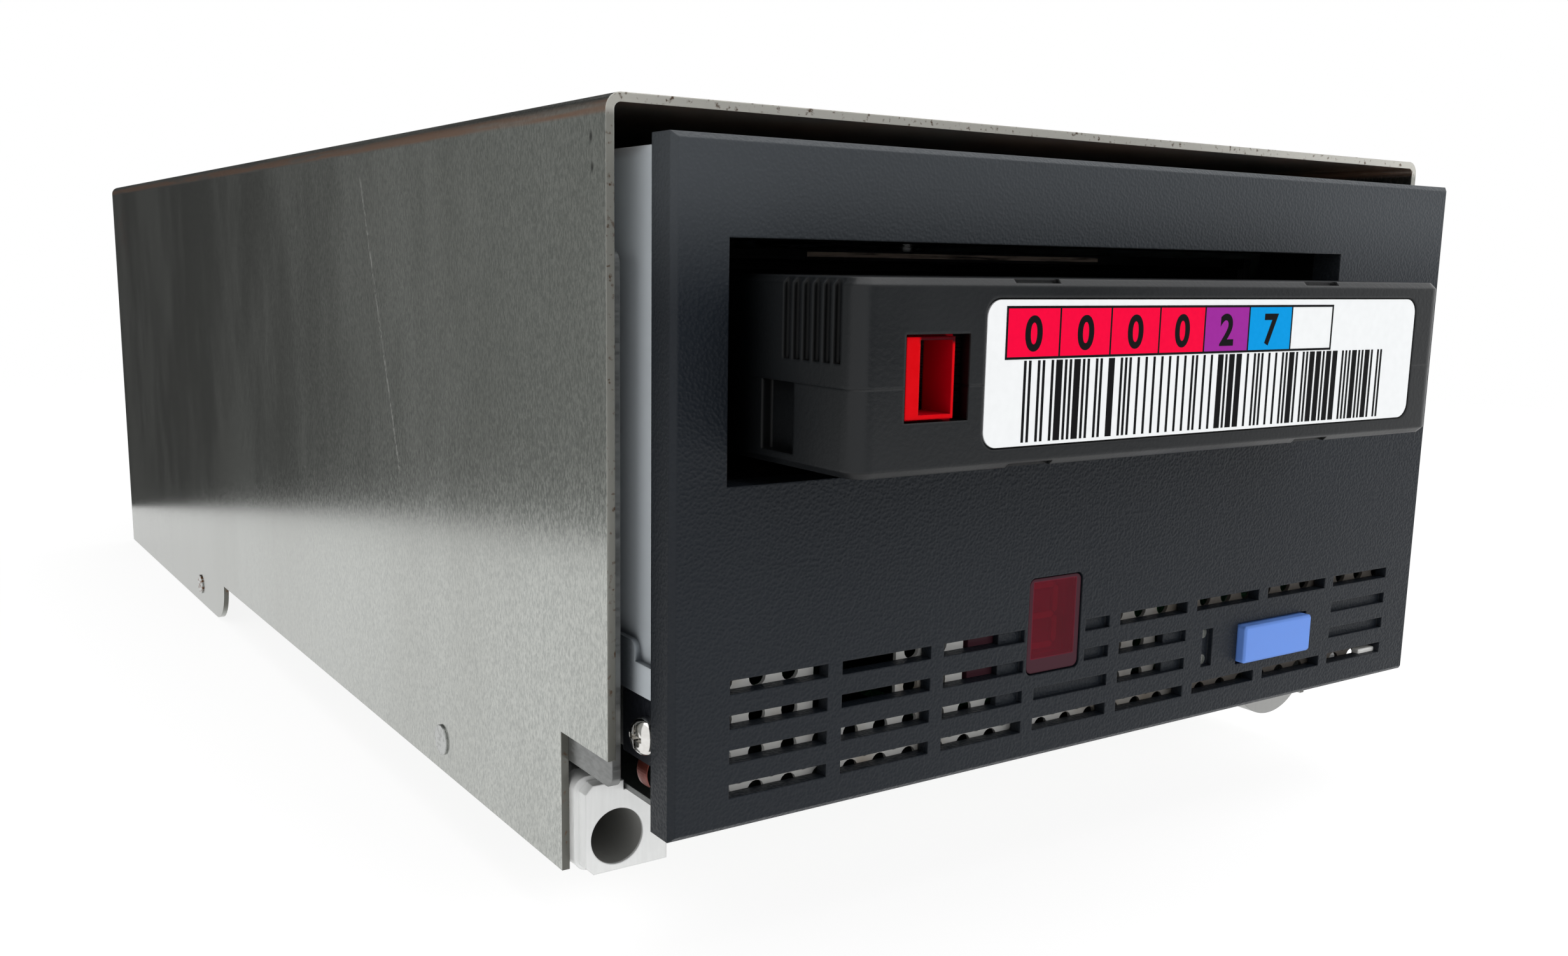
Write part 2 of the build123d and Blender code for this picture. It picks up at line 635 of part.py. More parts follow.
def side_profile():
    """Outline of the sled's side walls: notch low at the front, foot tab at the rear."""
    upper = rect(WALL_FRONT, SLED_REAR, NOTCH_TOP, SLED_TOP)
    lower = rect(LOWER_WALL_FRONT, SLED_REAR, WALL_BOTTOM, SLED_TOP)
    past = TAB_RADIUS * 2
    tab = rect(TAB_FRONT, SLED_REAR + past, TAB_BOTTOM, WALL_BOTTOM + past, TAB_RADIUS)
    return upper + lower + (tab & rect(TAB_FRONT, SLED_REAR, TAB_BOTTOM, SLED_TOP))


def cover_shell():
    """Folded cover: roof and both side walls in one sheet."""
    deep = TAB_BOTTOM - 2 * SLED_BEND
    outer = rect(-SLED_HALF, SLED_HALF, deep, SLED_TOP, SLED_BEND)
    inner_r = SLED_BEND - SLED_SHEET
    inner = rect(-SLED_INNER, SLED_INNER, deep - SLED_BEND, PANEL_TOP, inner_r)
    channel = along_y(outer - inner, 0, SLED_REAR)
    shell = channel & along_x(side_profile(), -SLED_HALF, SLED_HALF)
    for y, z in rivet_places():
        shell -= along_x(disc(y, z, RIVET_R), -SLED_HALF, SLED_HALF)
    return shell


def base_pan():
    """Floor of the sled: flanges riveted inside the walls, a front corner open for the guide block."""
    flange_top = WALL_BOTTOM + PAN_FLANGE
    outer = rect(-SLED_INNER, SLED_INNER, WALL_BOTTOM, flange_top + SLED_BEND, SLED_BEND)
    inside = SLED_INNER - SLED_SHEET
    inner = rect(-inside, inside, PAN_TOP, flange_top + SLED_BEND, SLED_BEND - SLED_SHEET)
    channel = (outer - inner) & rect(-SLED_HALF, SLED_HALF, WALL_BOTTOM, flange_top)
    pan = along_y(channel, PAN_FRONT, PANEL_FRONT)
    relief_rear = GUIDE_FRONT + GUIDE_LENGTH + BODY_GAP
    pan -= block(-SLED_HALF, GUIDE_RIGHT_EDGE + BODY_GAP, 0, relief_rear, WALL_BOTTOM, flange_top)
    for y, z in rivet_places():
        pan -= along_x(disc(y, z, RIVET_R), -SLED_HALF, SLED_HALF)
    return pan


def rivet_places():
    """Y and Z of the rivets, which are the same on both walls."""
    return [(RIVET_FRONT_Y, WALL_BOTTOM + RIVET_INSET), TAB_RIVET]


def shell_rivets():
    """Flat-headed rivets through the walls and the pan's flanges."""
    rivets = []
    for side in (-1, 1):
        for y, z in rivet_places():
            inner = SLED_INNER - (SLED_SHEET if z > WALL_BOTTOM else 0) - RIVET_HEAD_H
            shank = along_x(disc(y, z, RIVET_R), side * inner, side * SLED_HALF)
            head_end = side * (SLED_HALF + RIVET_HEAD_H)
            head = along_x(disc(y, z, RIVET_HEAD_R), side * SLED_HALF, head_end)
            rivets.append(shank + head)
    return rivets


def inner_rail(side):
    """Plate inside a side wall, with pressed bosses that reach the drive's side."""
    outer_x = side * SLED_INNER
    inner_x = side * (SLED_INNER - RAIL_SHEET)
    plate = along_x(rect(RAIL_FRONT, RAIL_REAR, RAIL_BOTTOM, RAIL_TOP, RAIL_CORNER), outer_x, inner_x)
    for y in MOUNT_SCREW_Y:
        boss = along_x(disc(y, MOUNT_SCREW_Z, RAIL_BOSS_R), outer_x, side * COVER_INNER)
        pocket = along_x(disc(y, MOUNT_SCREW_Z, MOUNT_HEAD_R + BODY_GAP), outer_x, side * MOUNT_SEAT)
        hole = along_x(disc(y, MOUNT_SCREW_Z, MOUNT_SCREW_R), outer_x, side * COVER_INNER)
        plate = plate + boss - pocket - hole
    return plate


def side_mount_screws():
    """Screws through the rail bosses into the drive's side walls."""
    screws = []
    for side in (-1, 1):
        for y in MOUNT_SCREW_Y:
            head_end = side * (MOUNT_SEAT + MOUNT_HEAD_H)
            head = along_x(disc(y, MOUNT_SCREW_Z, MOUNT_HEAD_R), side * MOUNT_SEAT, head_end)
            tip = side * (COVER_INNER - SCREW_DEPTH)
            shank = along_x(disc(y, MOUNT_SCREW_Z, MOUNT_SCREW_R), tip, side * MOUNT_SEAT)
            screws.append(head + shank)
    return screws


def left_guide_block():
    """Cast block with the round docking bore, its chamfered face proud of a rounded flange."""
    flange_y = GUIDE_FRONT + GUIDE_FLANGE_T
    rear = GUIDE_FRONT + GUIDE_LENGTH
    face = rect(GUIDE_LEFT_EDGE, GUIDE_RIGHT_EDGE, WALL_BOTTOM, GUIDE_TOP)
    face = chamfer(face.vertices().group_by(Axis.X)[0], GUIDE_CHAMFER)
    left = GUIDE_LEFT_EDGE - GUIDE_FLANGE_LIP
    flange_top = GUIDE_TOP + GUIDE_FLANGE_LIP
    flange = rect(left, -left, WALL_BOTTOM, flange_top, GUIDE_FLANGE_CORNER)
    flange &= rect(left, GUIDE_RIGHT_EDGE, WALL_BOTTOM, flange_top)
    body = along_y(face, GUIDE_FRONT, flange_y) + along_y(flange, flange_y, PAN_FRONT)
    seated = rect(left, GUIDE_RIGHT_EDGE, WALL_BOTTOM, BASE_BOTTOM - BODY_GAP)
    body += along_y(seated, PAN_FRONT, rear)
    step_x = -BOTTOM_PLATE_HALF - BODY_GAP
    under_drive = block(step_x, 0, 0, rear, BOTTOM_PLATE_Z, flange_top)
    return body - under_drive - along_y(disc(GUIDE_BORE_X, GUIDE_BORE_Z, GUIDE_BORE_R), 0, rear)


def right_guide_lug():
    """Round-nosed lug with a level slot, which lets the second docking pin float sideways."""
    top = BOTTOM_PLATE_Z - BODY_GAP
    rear = LUG_FRONT + GUIDE_LENGTH
    nose = disc(LUG_X, LUG_Z, LUG_R) & rect(LUG_X - LUG_R, LUG_X + LUG_R, LUG_Z - LUG_R, top)
    body = along_y(nose, LUG_FRONT, rear)
    body -= block(0, SLED_HALF, PAN_FRONT, rear, WALL_BOTTOM, PAN_TOP)
    slot = rect(
        LUG_X - LUG_SLOT_W / 2,
        LUG_X + LUG_SLOT_W / 2,
        LUG_SLOT_Z - LUG_SLOT_H / 2,
        LUG_SLOT_Z + LUG_SLOT_H / 2,
        LUG_SLOT_H * 0.49,
    )
    return body - along_y(slot, 0, rear)


# Rear panel, fan and host side


def rear_panel():
    """Flanged rear wall with the fan grille and the openings for the host side."""
    outer = rect(-SLED_INNER, SLED_INNER, WALL_BOTTOM, PANEL_TOP, SLED_BEND - SLED_SHEET)
    inside = SLED_INNER - SLED_SHEET
    inner = rect(-inside, inside, PAN_TOP, PANEL_TOP - SLED_SHEET)
    panel = along_y(outer, PANEL_FRONT, PANEL_FACE) - along_y(inner, PANEL_FRONT, PANEL_BACK)
    radii = [FAN_DUCT_R * share for share in GRILLE_RING_SHARES]
    grille = Sketch() + [Circle(r + GRILLE_SLOT / 2) - Circle(r - GRILLE_SLOT / 2) for r in radii]
    for turn in (0, 90):
        grille -= Rot(0, 0, turn) * Rectangle(FAN_SIZE, GRILLE_SPOKE)
    panel -= along_y(Pos(FAN_X, FAN_Z) * grille, PANEL_BACK, PANEL_FACE)
    for x, z in fan_holes():
        panel -= along_y(disc(x, z, FAN_HOLE_R), PANEL_BACK, PANEL_FACE)
    for x, width, height in port_openings():
        opening = rect(x - width / 2, x + width / 2, HOST_SEAT, HOST_SEAT + height)
        panel -= along_y(opening, PANEL_BACK, PANEL_FACE)
    return panel


def port_openings():
    """Centre, width and height of each opening above the interface board."""
    return [(x, PORT_W, PORT_H) for x in PORT_X] + [(POWER_X, POWER_W, POWER_H)]


def fan_holes():
    """Fan screw centres in X and Z."""
    half = FAN_SIZE / 2 - FAN_SCREW_INSET
    return [(FAN_X + i * half, FAN_Z + k * half) for i in (-1, 1) for k in (-1, 1)]


def fan_frame():
    """Square fan housing with a round duct and a bearing hub on four struts."""
    half = FAN_SIZE / 2
    square = rect(FAN_X - half, FAN_X + half, FAN_Z - half, FAN_Z + half, FAN_CORNER)
    frame = along_y(square - disc(FAN_X, FAN_Z, FAN_DUCT_R), FAN_FRONT, PANEL_BACK)
    strut = Pos(FAN_DUCT_R / 2, 0) * Rectangle(FAN_DUCT_R + 1, FAN_STRUT_W)
    hub = Circle(FAN_HUB_R) + [Rot(0, 0, angle) * strut for angle in (45, 135, 225, 315)]
    frame += along_y(Pos(FAN_X, FAN_Z) * hub, FAN_STRUT_Y, PANEL_BACK)
    for x, z in fan_holes():
        frame -= along_y(disc(x, z, FAN_HOLE_R), FAN_FRONT, PANEL_BACK)
    return frame - along_y(disc(FAN_X, FAN_Z, FAN_SHAFT_R + RUNNING), FAN_STRUT_Y, PANEL_BACK)


def fan_rotor():
    """Fan hub with raked blades and its shaft in the frame's bearing."""
    front = FAN_FRONT + FAN_TIP_GAP
    rear = FAN_STRUT_Y - BODY_GAP
    depth = rear - front
    ring = Circle(FAN_ROTOR_R) - Circle(FAN_HUB_R - FAN_BLADE_T)
    band = along_y(Pos(FAN_X, FAN_Z) * ring, front + FAN_BLADE_T, rear - FAN_BLADE_T)
    rotor = along_y(disc(FAN_X, FAN_Z, FAN_HUB_R), front, rear)
    rotor += along_y(disc(FAN_X, FAN_Z, FAN_SHAFT_R), rear, PANEL_BACK - BODY_GAP)
    centre = Pos(FAN_X, front + depth / 2, FAN_Z)
    sheet = Box(FAN_ROTOR_R * 1.2, depth * 1.4, FAN_BLADE_T)
    blade = Pos(FAN_ROTOR_R / 2, 0, 0) * Rot(FAN_BLADE_ANGLE, 0, 0) * sheet
    for k in range(FAN_BLADES):
        rotor += (centre * Rot(0, 360 * k / FAN_BLADES, 0) * blade) & band
    return rotor


def interface_board():
    """Board behind the drive that carries the host ports, with its main chips."""
    half = HOST_BOARD_HALF
    board = block(-half, half, HOST_BOARD_FRONT, HOST_BOARD_REAR, HOST_BOARD_Z, HOST_SEAT)
    for x, behind, size, height in BOARD_CHIPS:
        y = HOST_BOARD_FRONT + behind
        board += block(x - size / 2, x + size / 2, y - size / 2, y + size / 2, HOST_SEAT, HOST_SEAT + height)
    return board


def board_standoffs():
    """Pillars that hold the interface board off the pan."""
    return [along_z(disc(x, y, STANDOFF_R), PAN_TOP, HOST_BOARD_Z) for x, y in STANDOFFS]


def host_port_cages():
    """Open-ended sheet cages for the host link modules."""
    cages = []
    for x in PORT_X:
        half = PORT_W / 2
        wall = PORT_WALL
        start = PANEL_FACE - PORT_LENGTH
        outer = rect(x - half, x + half, HOST_SEAT, HOST_SEAT + PORT_H)
        inner = rect(x - half + wall, x + half - wall, HOST_SEAT + wall, HOST_SEAT + PORT_H - wall)
        cages.append(along_y(outer, start, PANEL_FACE) - along_y(inner, start + wall, PANEL_FACE))
    return cages


def power_connector():
    """Moulded power socket with four contact wells, flush with the rear panel."""
    half = POWER_W / 2
    top = HOST_SEAT + POWER_H
    body = block(POWER_X - half, POWER_X + half, PANEL_FACE - POWER_LENGTH, PANEL_FACE, HOST_SEAT, top)
    wells = GridLocations(half, POWER_H / 2, 2, 2) * Rectangle(POWER_WELL, POWER_WELL)
    placed = Pos(POWER_X, HOST_SEAT + POWER_H / 2) * (Sketch() + wells)
    return body - along_y(placed, PANEL_FACE - POWER_WELL_DEPTH, PANEL_FACE)


# Bezel and its fittings


def vent_centre(column, row):
    """X and Z of a vent: columns count from the left, rows from the bottom."""
    first = VENT_SIDE_LEFT - BEZEL_HALF + VENT_W / 2
    return first + column * VENT_PITCH_X, VENT_BOTTOM_ROW + row * VENT_PITCH_Z


def vent(column, row, start=0.0, end=1.0):
    """One vent, or the part of it between two shares of its width."""
    x, z = vent_centre(column, row)
    left = x - VENT_W / 2
    return rect(left + start * VENT_W, left + end * VENT_W, z - VENT_H / 2, z + VENT_H / 2)


def bezel():
    """Moulded front: cartridge slot, vent grid, display pocket, button and lamp openings."""
    plate = along_y(rect(-BEZEL_HALF, BEZEL_HALF, 0, BEZEL_H), 0, BEZEL_T)
    plate = chamfer(plate.edges().filter_by(Plane.XZ).group_by(Axis.Y)[0], BEZEL_EDGE)
    open_vents = [(c, r) for c in range(VENT_COLUMNS) for r in (0, 3) if (c, r) != (3, 3)]
    open_vents += [(c, r) for c in (0, 1) for r in (1, 2)]
    open_vents.remove((2, 3))
    cut = Sketch() + [vent(c, r) for c, r in open_vents]
    cut += [vent(c, r, 0, VENT_STUB_RIGHT) for c, r in STUB_VENTS]
    cut += rect(SLOT_LEFT, SLOT_RIGHT, SLOT_BOTTOM, SLOT_TOP)
    button_half_w = BUTTON_W / 2 + BODY_GAP
    button_half_h = BUTTON_H / 2 + BODY_GAP
    cut += Pos(BUTTON_X, BUTTON_Z) * Rectangle(2 * button_half_w, 2 * button_half_h)
    cut += [disc(LED_SLIT_X, z, LED_R) for z in led_heights()]
    pane_w = WINDOW_W + 2 * WINDOW_PLAY
    pane_h = WINDOW_H + 2 * WINDOW_PLAY
    cut += Pos(WINDOW_X, WINDOW_Z) * RectangleRounded(pane_w, pane_h, WINDOW_CORNER)
    plate -= along_y(cut, 0, BEZEL_T)
    blind = Sketch() + [vent(3, 1), vent(7, 1), vent(7, 2)]
    blind += [vent(3, row, VENT_STUB_LEFT, 1) for row in (2, 3)]
    blind += [vent(c, r, VENT_STUB_RIGHT, 1) for c, r in STUB_VENTS]
    blind += Pos(LED_SLIT_X, LED_SLIT_Z) * Rectangle(LED_SLIT_W, LED_SLIT_H)
    plate -= along_y(blind, 0, VENT_BLIND_DEPTH)
    side = BEZEL_HALF - BEZEL_POCKET_SIDE
    pocket = rect(-side, side, BEZEL_POCKET_LOW, POCKET_TOP) + window_flange(2 * WINDOW_PLAY)
    pocket -= button_boss(0)
    plate -= along_y(pocket, BEZEL_FACE_T, BEZEL_T)
    for x in FRONT_POSTS:
        post = disc(x, FRONT_BOARD_UPPER - FRONT_POST_INSET, FRONT_POST_R)
        plate += along_y(post, BEZEL_T, FRONT_BOARD_Y)
    return plate


def window_flange(play=0.0):
    """Outline of the flange that holds the display window behind the bezel, or of its recess."""
    half_w = WINDOW_W / 2 + WINDOW_FLANGE + play
    half_h = WINDOW_H / 2 + WINDOW_FLANGE + play
    low = WINDOW_Z - half_h
    tail = rect(WINDOW_X - WINDOW_W / 2 - WINDOW_TAIL - play, WINDOW_X, low, low + WINDOW_TAIL_H + 2 * play)
    return tail + rect(WINDOW_X - half_w, WINDOW_X + half_w, low, WINDOW_Z + half_h)


def button_boss(play):
    """Outline of the thick border round the key, or of its clearance in the screen."""
    grow = BUTTON_FLANGE + BUTTON_BOSS + play
    return Pos(BUTTON_X, BUTTON_Z) * Rectangle(BUTTON_W + 2 * grow, BUTTON_H + 2 * grow)


def led_heights():
    """Z of the two lamps in the slit."""
    return (LED_SLIT_Z - LED_PITCH / 2, LED_SLIT_Z + LED_PITCH / 2)


def slot_throat():
    """Frame behind the slot that leads the cartridge into the tray."""
    wall = THROAT_WALL
    outer = rect(SLOT_LEFT - wall, SLOT_RIGHT + wall, SLOT_BOTTOM - wall, SLOT_TOP + wall)
    return along_y(outer - rect(SLOT_LEFT, SLOT_RIGHT, SLOT_BOTTOM, SLOT_TOP), BEZEL_T, THROAT_REAR)


def display_window():
    """Dark red window: a pane in its opening and a wider flange behind the bezel's wall."""
    shape = Pos(WINDOW_X, WINDOW_Z) * RectangleRounded(WINDOW_W, WINDOW_H, WINDOW_CORNER)
    pane = along_y(shape, WINDOW_SINK, WINDOW_REAR)
    return pane + along_y(window_flange(), BEZEL_FACE_T, WINDOW_REAR)


def display_digit():
    """Seven-segment module on the front board, its bars proud of the face."""
    front = WINDOW_REAR + DIGIT_GAP
    half_w = DIGIT_W / 2
    half_h = DIGIT_H / 2
    module = along_y(rect(-half_w, half_w, -half_h, half_h), front, FRONT_BOARD_Y)
    bar_w = DIGIT_W * 0.42
    bar_h = DIGIT_H * 0.3
    rows = (-DIGIT_H * 0.38, 0, DIGIT_H * 0.38)
    bars = Sketch() + [Pos(0, z) * Rectangle(bar_w, SEGMENT_T) for z in rows]
    bars += [
        Pos(x, z) * Rectangle(SEGMENT_T, bar_h)
        for x in (-DIGIT_W * 0.3, DIGIT_W * 0.3)
        for z in (-DIGIT_H * 0.19, DIGIT_H * 0.19)
    ]
    return Pos(WINDOW_X, 0, WINDOW_Z) * (module + along_y(bars, front - SEGMENT_PROUD, front))


def led_pipes():
    """Clear light pipes from the front board to the slit."""
    pipes = [disc(LED_SLIT_X, z, LED_R) for z in led_heights()]
    return [along_y(pipe, VENT_BLIND_DEPTH, FRONT_BOARD_Y) for pipe in pipes]


def eject_button():
    """Oblong key with a flange behind the bezel and a stem towards the switch."""
    half_w = BUTTON_W / 2
    half_h = BUTTON_H / 2
    face = rect(-half_w, half_w, -half_h, half_h, BUTTON_CORNER)
    key = along_y(face, -BUTTON_PROUD, BUTTON_FLANGE_Y)
    key = chamfer(key.edges().filter_by(Plane.XZ).group_by(Axis.Y)[0], BUTTON_EDGE)
    wide = Rectangle(BUTTON_W + 2 * BUTTON_FLANGE, BUTTON_H + 2 * BUTTON_FLANGE)
    key += along_y(wide, BUTTON_FLANGE_Y, BUTTON_STEM_Y)
    key += along_y(Rectangle(STEM_W, STEM_H), BUTTON_STEM_Y, BUTTON_STEM_Y + STEM_L)
    return Pos(BUTTON_X, 0, BUTTON_Z) * key


def eject_switch():
    """Switch on the front board, with its plunger just out of the pressed stem's reach."""
    plunger_y = BUTTON_STEM_Y + STEM_L + BUTTON_TRAVEL + SWITCH_GAP
    plunger = along_y(Circle(PLUNGER_R), plunger_y, FRONT_BOARD_Y)
    body = along_y(Rectangle(SWITCH_SIZE, SWITCH_SIZE), FRONT_BOARD_Y - SWITCH_BODY_T, FRONT_BOARD_Y)
    return Pos(BUTTON_X, 0, BUTTON_Z) * (plunger + body)


def front_board():
    """Small board behind the bezel with the display, lamps and switch."""
    sides = (FRONT_BOARD_LEFT, FRONT_BOARD_RIGHT, FRONT_BOARD_BOTTOM, FRONT_BOARD_UPPER)
    return along_y(rect(*sides, FRONT_BOARD_CORNER), FRONT_BOARD_Y, FRONT_BOARD_REAR)


def vent_grille():
    """Perforated sheet behind the vents, folded back along both sides of the drive."""
    face = rect(-DRIVE_HALF, DRIVE_HALF, BASE_CUT_TOP, SKIRT_BOTTOM)
    face += rect(-COVER_INNER, COVER_INNER, BEZEL_POCKET_LOW + GRILLE_GAP, GRILLE_TOP)
    face -= button_boss(BODY_GAP)
    face -= window_flange(3 * WINDOW_PLAY)
    face -= Pos(LED_SLIT_X, LED_SLIT_Z) * Rectangle(LED_SLIT_W, LED_SLIT_H)
    face -= rect(GRILLE_CUT_LEFT, GRILLE_CUT_RIGHT, GRILLE_CUT_LOW, GRILLE_CUT_TOP)
    for row in range(4):
        first = (row % 2 - GRILLE_HOLES) * GRILLE_PITCH / 2
        z = VENT_BOTTOM_ROW + row * VENT_PITCH_Z
        for k in range(GRILLE_HOLES):
            face -= Pos(first + k * GRILLE_PITCH, z) * RegularPolygon(GRILLE_HOLE_R, 6)
    sheet = along_y(face, GRILLE_Y, GRILLE_Y + GRILLE_T)
    for side in (-1, 1):
        ear = rect(GRILLE_Y, GRILLE_Y + GRILLE_EAR, BASE_CUT_TOP, SKIRT_BOTTOM)
        ear -= disc(FRAME_SCREW_Y, FRAME_SCREW_Z, FRAME_SCREW_R)
        sheet += along_x(ear, side * COVER_INNER, side * DRIVE_HALF)
    return sheet


# Drive body


def drive_cover():
    """Folded cover of the drive: roof, side skirts and the joggled lips low at the front."""
    deep = SKIRT_BOTTOM - 2 * COVER_BEND
    outer = rect(-DRIVE_HALF, DRIVE_HALF, deep, COVER_TOP, COVER_BEND)
    inner_top = COVER_TOP - COVER_SHEET
    inner = rect(-COVER_INNER, COVER_INNER, deep - COVER_BEND, inner_top, COVER_BEND - COVER_SHEET)
    channel = (outer - inner) & rect(-DRIVE_HALF, DRIVE_HALF, SKIRT_BOTTOM, COVER_TOP)
    cover = along_y(channel, BEZEL_T, DRIVE_REAR)
    lip = rect(LIP_FRONT, LIP_REAR, SKIRT_BOTTOM - LIP_CORNER * 2, LIP_TOP, LIP_CORNER)
    lip += rect(BEZEL_T, LIP_REAR, SKIRT_BOTTOM, LIP_STEP_TOP)
    lip &= rect(BEZEL_T, LIP_REAR, SKIRT_BOTTOM, LIP_TOP)
    for side in (-1, 1):
        cover += along_x(lip, side * DRIVE_HALF, side * (DRIVE_HALF + LIP_T))
    rear = rect(-COVER_INNER, COVER_INNER, BASE_TOP, inner_top)
    return cover + along_y(rear, DRIVE_REAR - COVER_SHEET, DRIVE_REAR)


def drive_base():
    """Cast base: side walls and floor in one section, closed at the rear, with its bosses."""
    section = rect(-COVER_INNER, -BASE_INNER, BASE_BOTTOM, BASE_TOP)
    section += rect(BASE_INNER, COVER_INNER, BASE_BOTTOM, BASE_TOP)
    section += rect(-COVER_INNER, COVER_INNER, BASE_FLOOR, FLOOR_TOP)
    corners = [v for v in section.vertices() if BASE_BOTTOM < v.Y < BASE_TOP and abs(v.X) < COVER_INNER]
    section = fillet(corners, BASE_FILLET)
    base = along_y(section, BEZEL_T, DRIVE_REAR)
    low = BASE_FLOOR - BASE_FILLET
    base -= block(-BASE_INNER, BASE_INNER, 0, BASE_FLOOR_FRONT, low, FLOOR_TOP + BASE_FILLET)
    base -= block(-DRIVE_HALF, DRIVE_HALF, 0, BASE_CUT_REAR, 0, BASE_CUT_TOP)
    opening_half = HOST_PLUG_W / 2 + HOST_OPENING_SIDE
    opening_top = MAIN_BOARD_Z + HOST_PLUG_H + HOST_OPENING_ABOVE
    rear = rect(-BASE_INNER, BASE_INNER, BASE_BOTTOM, BASE_TOP)
    rear -= rect(
        HOST_PLUG_X - opening_half,
        HOST_PLUG_X + opening_half,
        MAIN_BOARD_Z - HOST_OPENING_ABOVE,
        opening_top,
    )
    base += along_y(rear, DRIVE_REAR - BASE_WALL, DRIVE_REAR)
    base += along_x(disc(GEAR_Y, GEAR_Z, GEAR_AXLE_R), -BASE_INNER, BODY_GAP + GEAR_WIDTH - BASE_INNER)
    screws = [(y, MOUNT_SCREW_Z, MOUNT_SCREW_R) for y in MOUNT_SCREW_Y]
    screws.append((FRAME_SCREW_Y, FRAME_SCREW_Z, FRAME_SCREW_R))
    for side in (-1, 1):
        for y, z, radius in screws:
            base -= along_x(disc(y, z, radius), side * (COVER_INNER - SCREW_DEPTH), side * COVER_INNER)
    half = BASE_RIB_T / 2
    for x in BASE_RIB_X:
        rib = rect(x - half, x + half, BASE_FLOOR - BASE_RIB_H, BASE_FLOOR)
        base += along_y(rib, BASE_CUT_REAR, DRIVE_REAR - BASE_WALL)
    return base


def bottom_plate():
    """Sheet that closes the drive below."""
    return block(
        -BOTTOM_PLATE_HALF,
        BOTTOM_PLATE_HALF,
        BEZEL_T,
        DRIVE_REAR - BOTTOM_PLATE_SHORT,
        BOTTOM_PLATE_Z,
        BASE_BOTTOM,
    )


def frame_screws():
    """Domed cross-recess screws, one on each side, low behind the bezel."""
    screws = []
    cross = Rectangle(CROSS_L, CROSS_W) + Rectangle(CROSS_W, CROSS_L)
    for side in (-1, 1):
        y = FRAME_SCREW_Y
        z = FRAME_SCREW_Z
        seat = side * DRIVE_HALF
        crest = seat + side * FRAME_HEAD_H
        shank = along_x(disc(y, z, FRAME_SCREW_R), side * (COVER_INNER - SCREW_DEPTH), seat)
        head = along_x(disc(y, z, FRAME_HEAD_R), seat, crest)
        rim = head.edges().filter_by(GeomType.CIRCLE).sort_by(Axis.X)
        head = fillet(rim[0] if side < 0 else rim[-1], FRAME_HEAD_ROUND)
        head -= along_x(Pos(y, z) * cross, crest - side * CROSS_DEPTH, crest)
        screws.append(shank + head)
    return screws


def main_board():
    """Controller board in the bottom bay, on standing edges of the base, with its chips."""
    top = MAIN_BOARD_Z + BOARD_T
    rear = DRIVE_REAR - MAIN_BOARD_SHORT
    board = block(-BASE_INNER, BASE_INNER, BASE_CUT_REAR, rear, MAIN_BOARD_Z, top)
    board += block(FRONT_BOARD_LEFT, FRONT_BOARD_RIGHT, FRONT_BOARD_REAR, BASE_CUT_REAR, MAIN_BOARD_Z, top)
    for x, y, size, height in MAIN_CHIPS:
        board += block(x - size / 2, x + size / 2, y - size / 2, y + size / 2, top, top + height)
    return board


def rear_connector():
    """Host connector on the main board, through the base's rear wall."""
    wall = HOST_PLUG_WALL
    rear = DRIVE_REAR + HOST_PLUG_REAR
    face = Pos(HOST_PLUG_X, MAIN_BOARD_Z + HOST_PLUG_H / 2)
    body = along_y(face * Rectangle(HOST_PLUG_W, HOST_PLUG_H), DRIVE_REAR - MAIN_BOARD_SHORT, rear)
    return body - along_y(face * Rectangle(HOST_PLUG_W - 2 * wall, HOST_PLUG_H - 2 * wall), DRIVE_REAR, rear)


# Cartridge


def cartridge_body():
    """Outer form of the cartridge before it is hollowed and parted."""
    plan = rect(CART_LEFT, CART_RIGHT, CART_FRONT, CART_REAR, CART_CORNER)
    solid = along_z(plan, CART_BOTTOM, CART_TOP)
    flat = solid.edges().group_by(Axis.Z)
    solid = chamfer(flat[0] + flat[-1], CART_EDGE)
    clips = Sketch() + [Pos(CART_X + x, CART_FRONT) * Rectangle(CLIP_W, 2 * CLIP_DEPTH) for x in CLIP_X]
    solid -= along_z(clips, CART_BOTTOM, CART_BOTTOM + CLIP_H)
    return solid - along_z(clips, CART_TOP - CLIP_H, CART_TOP)


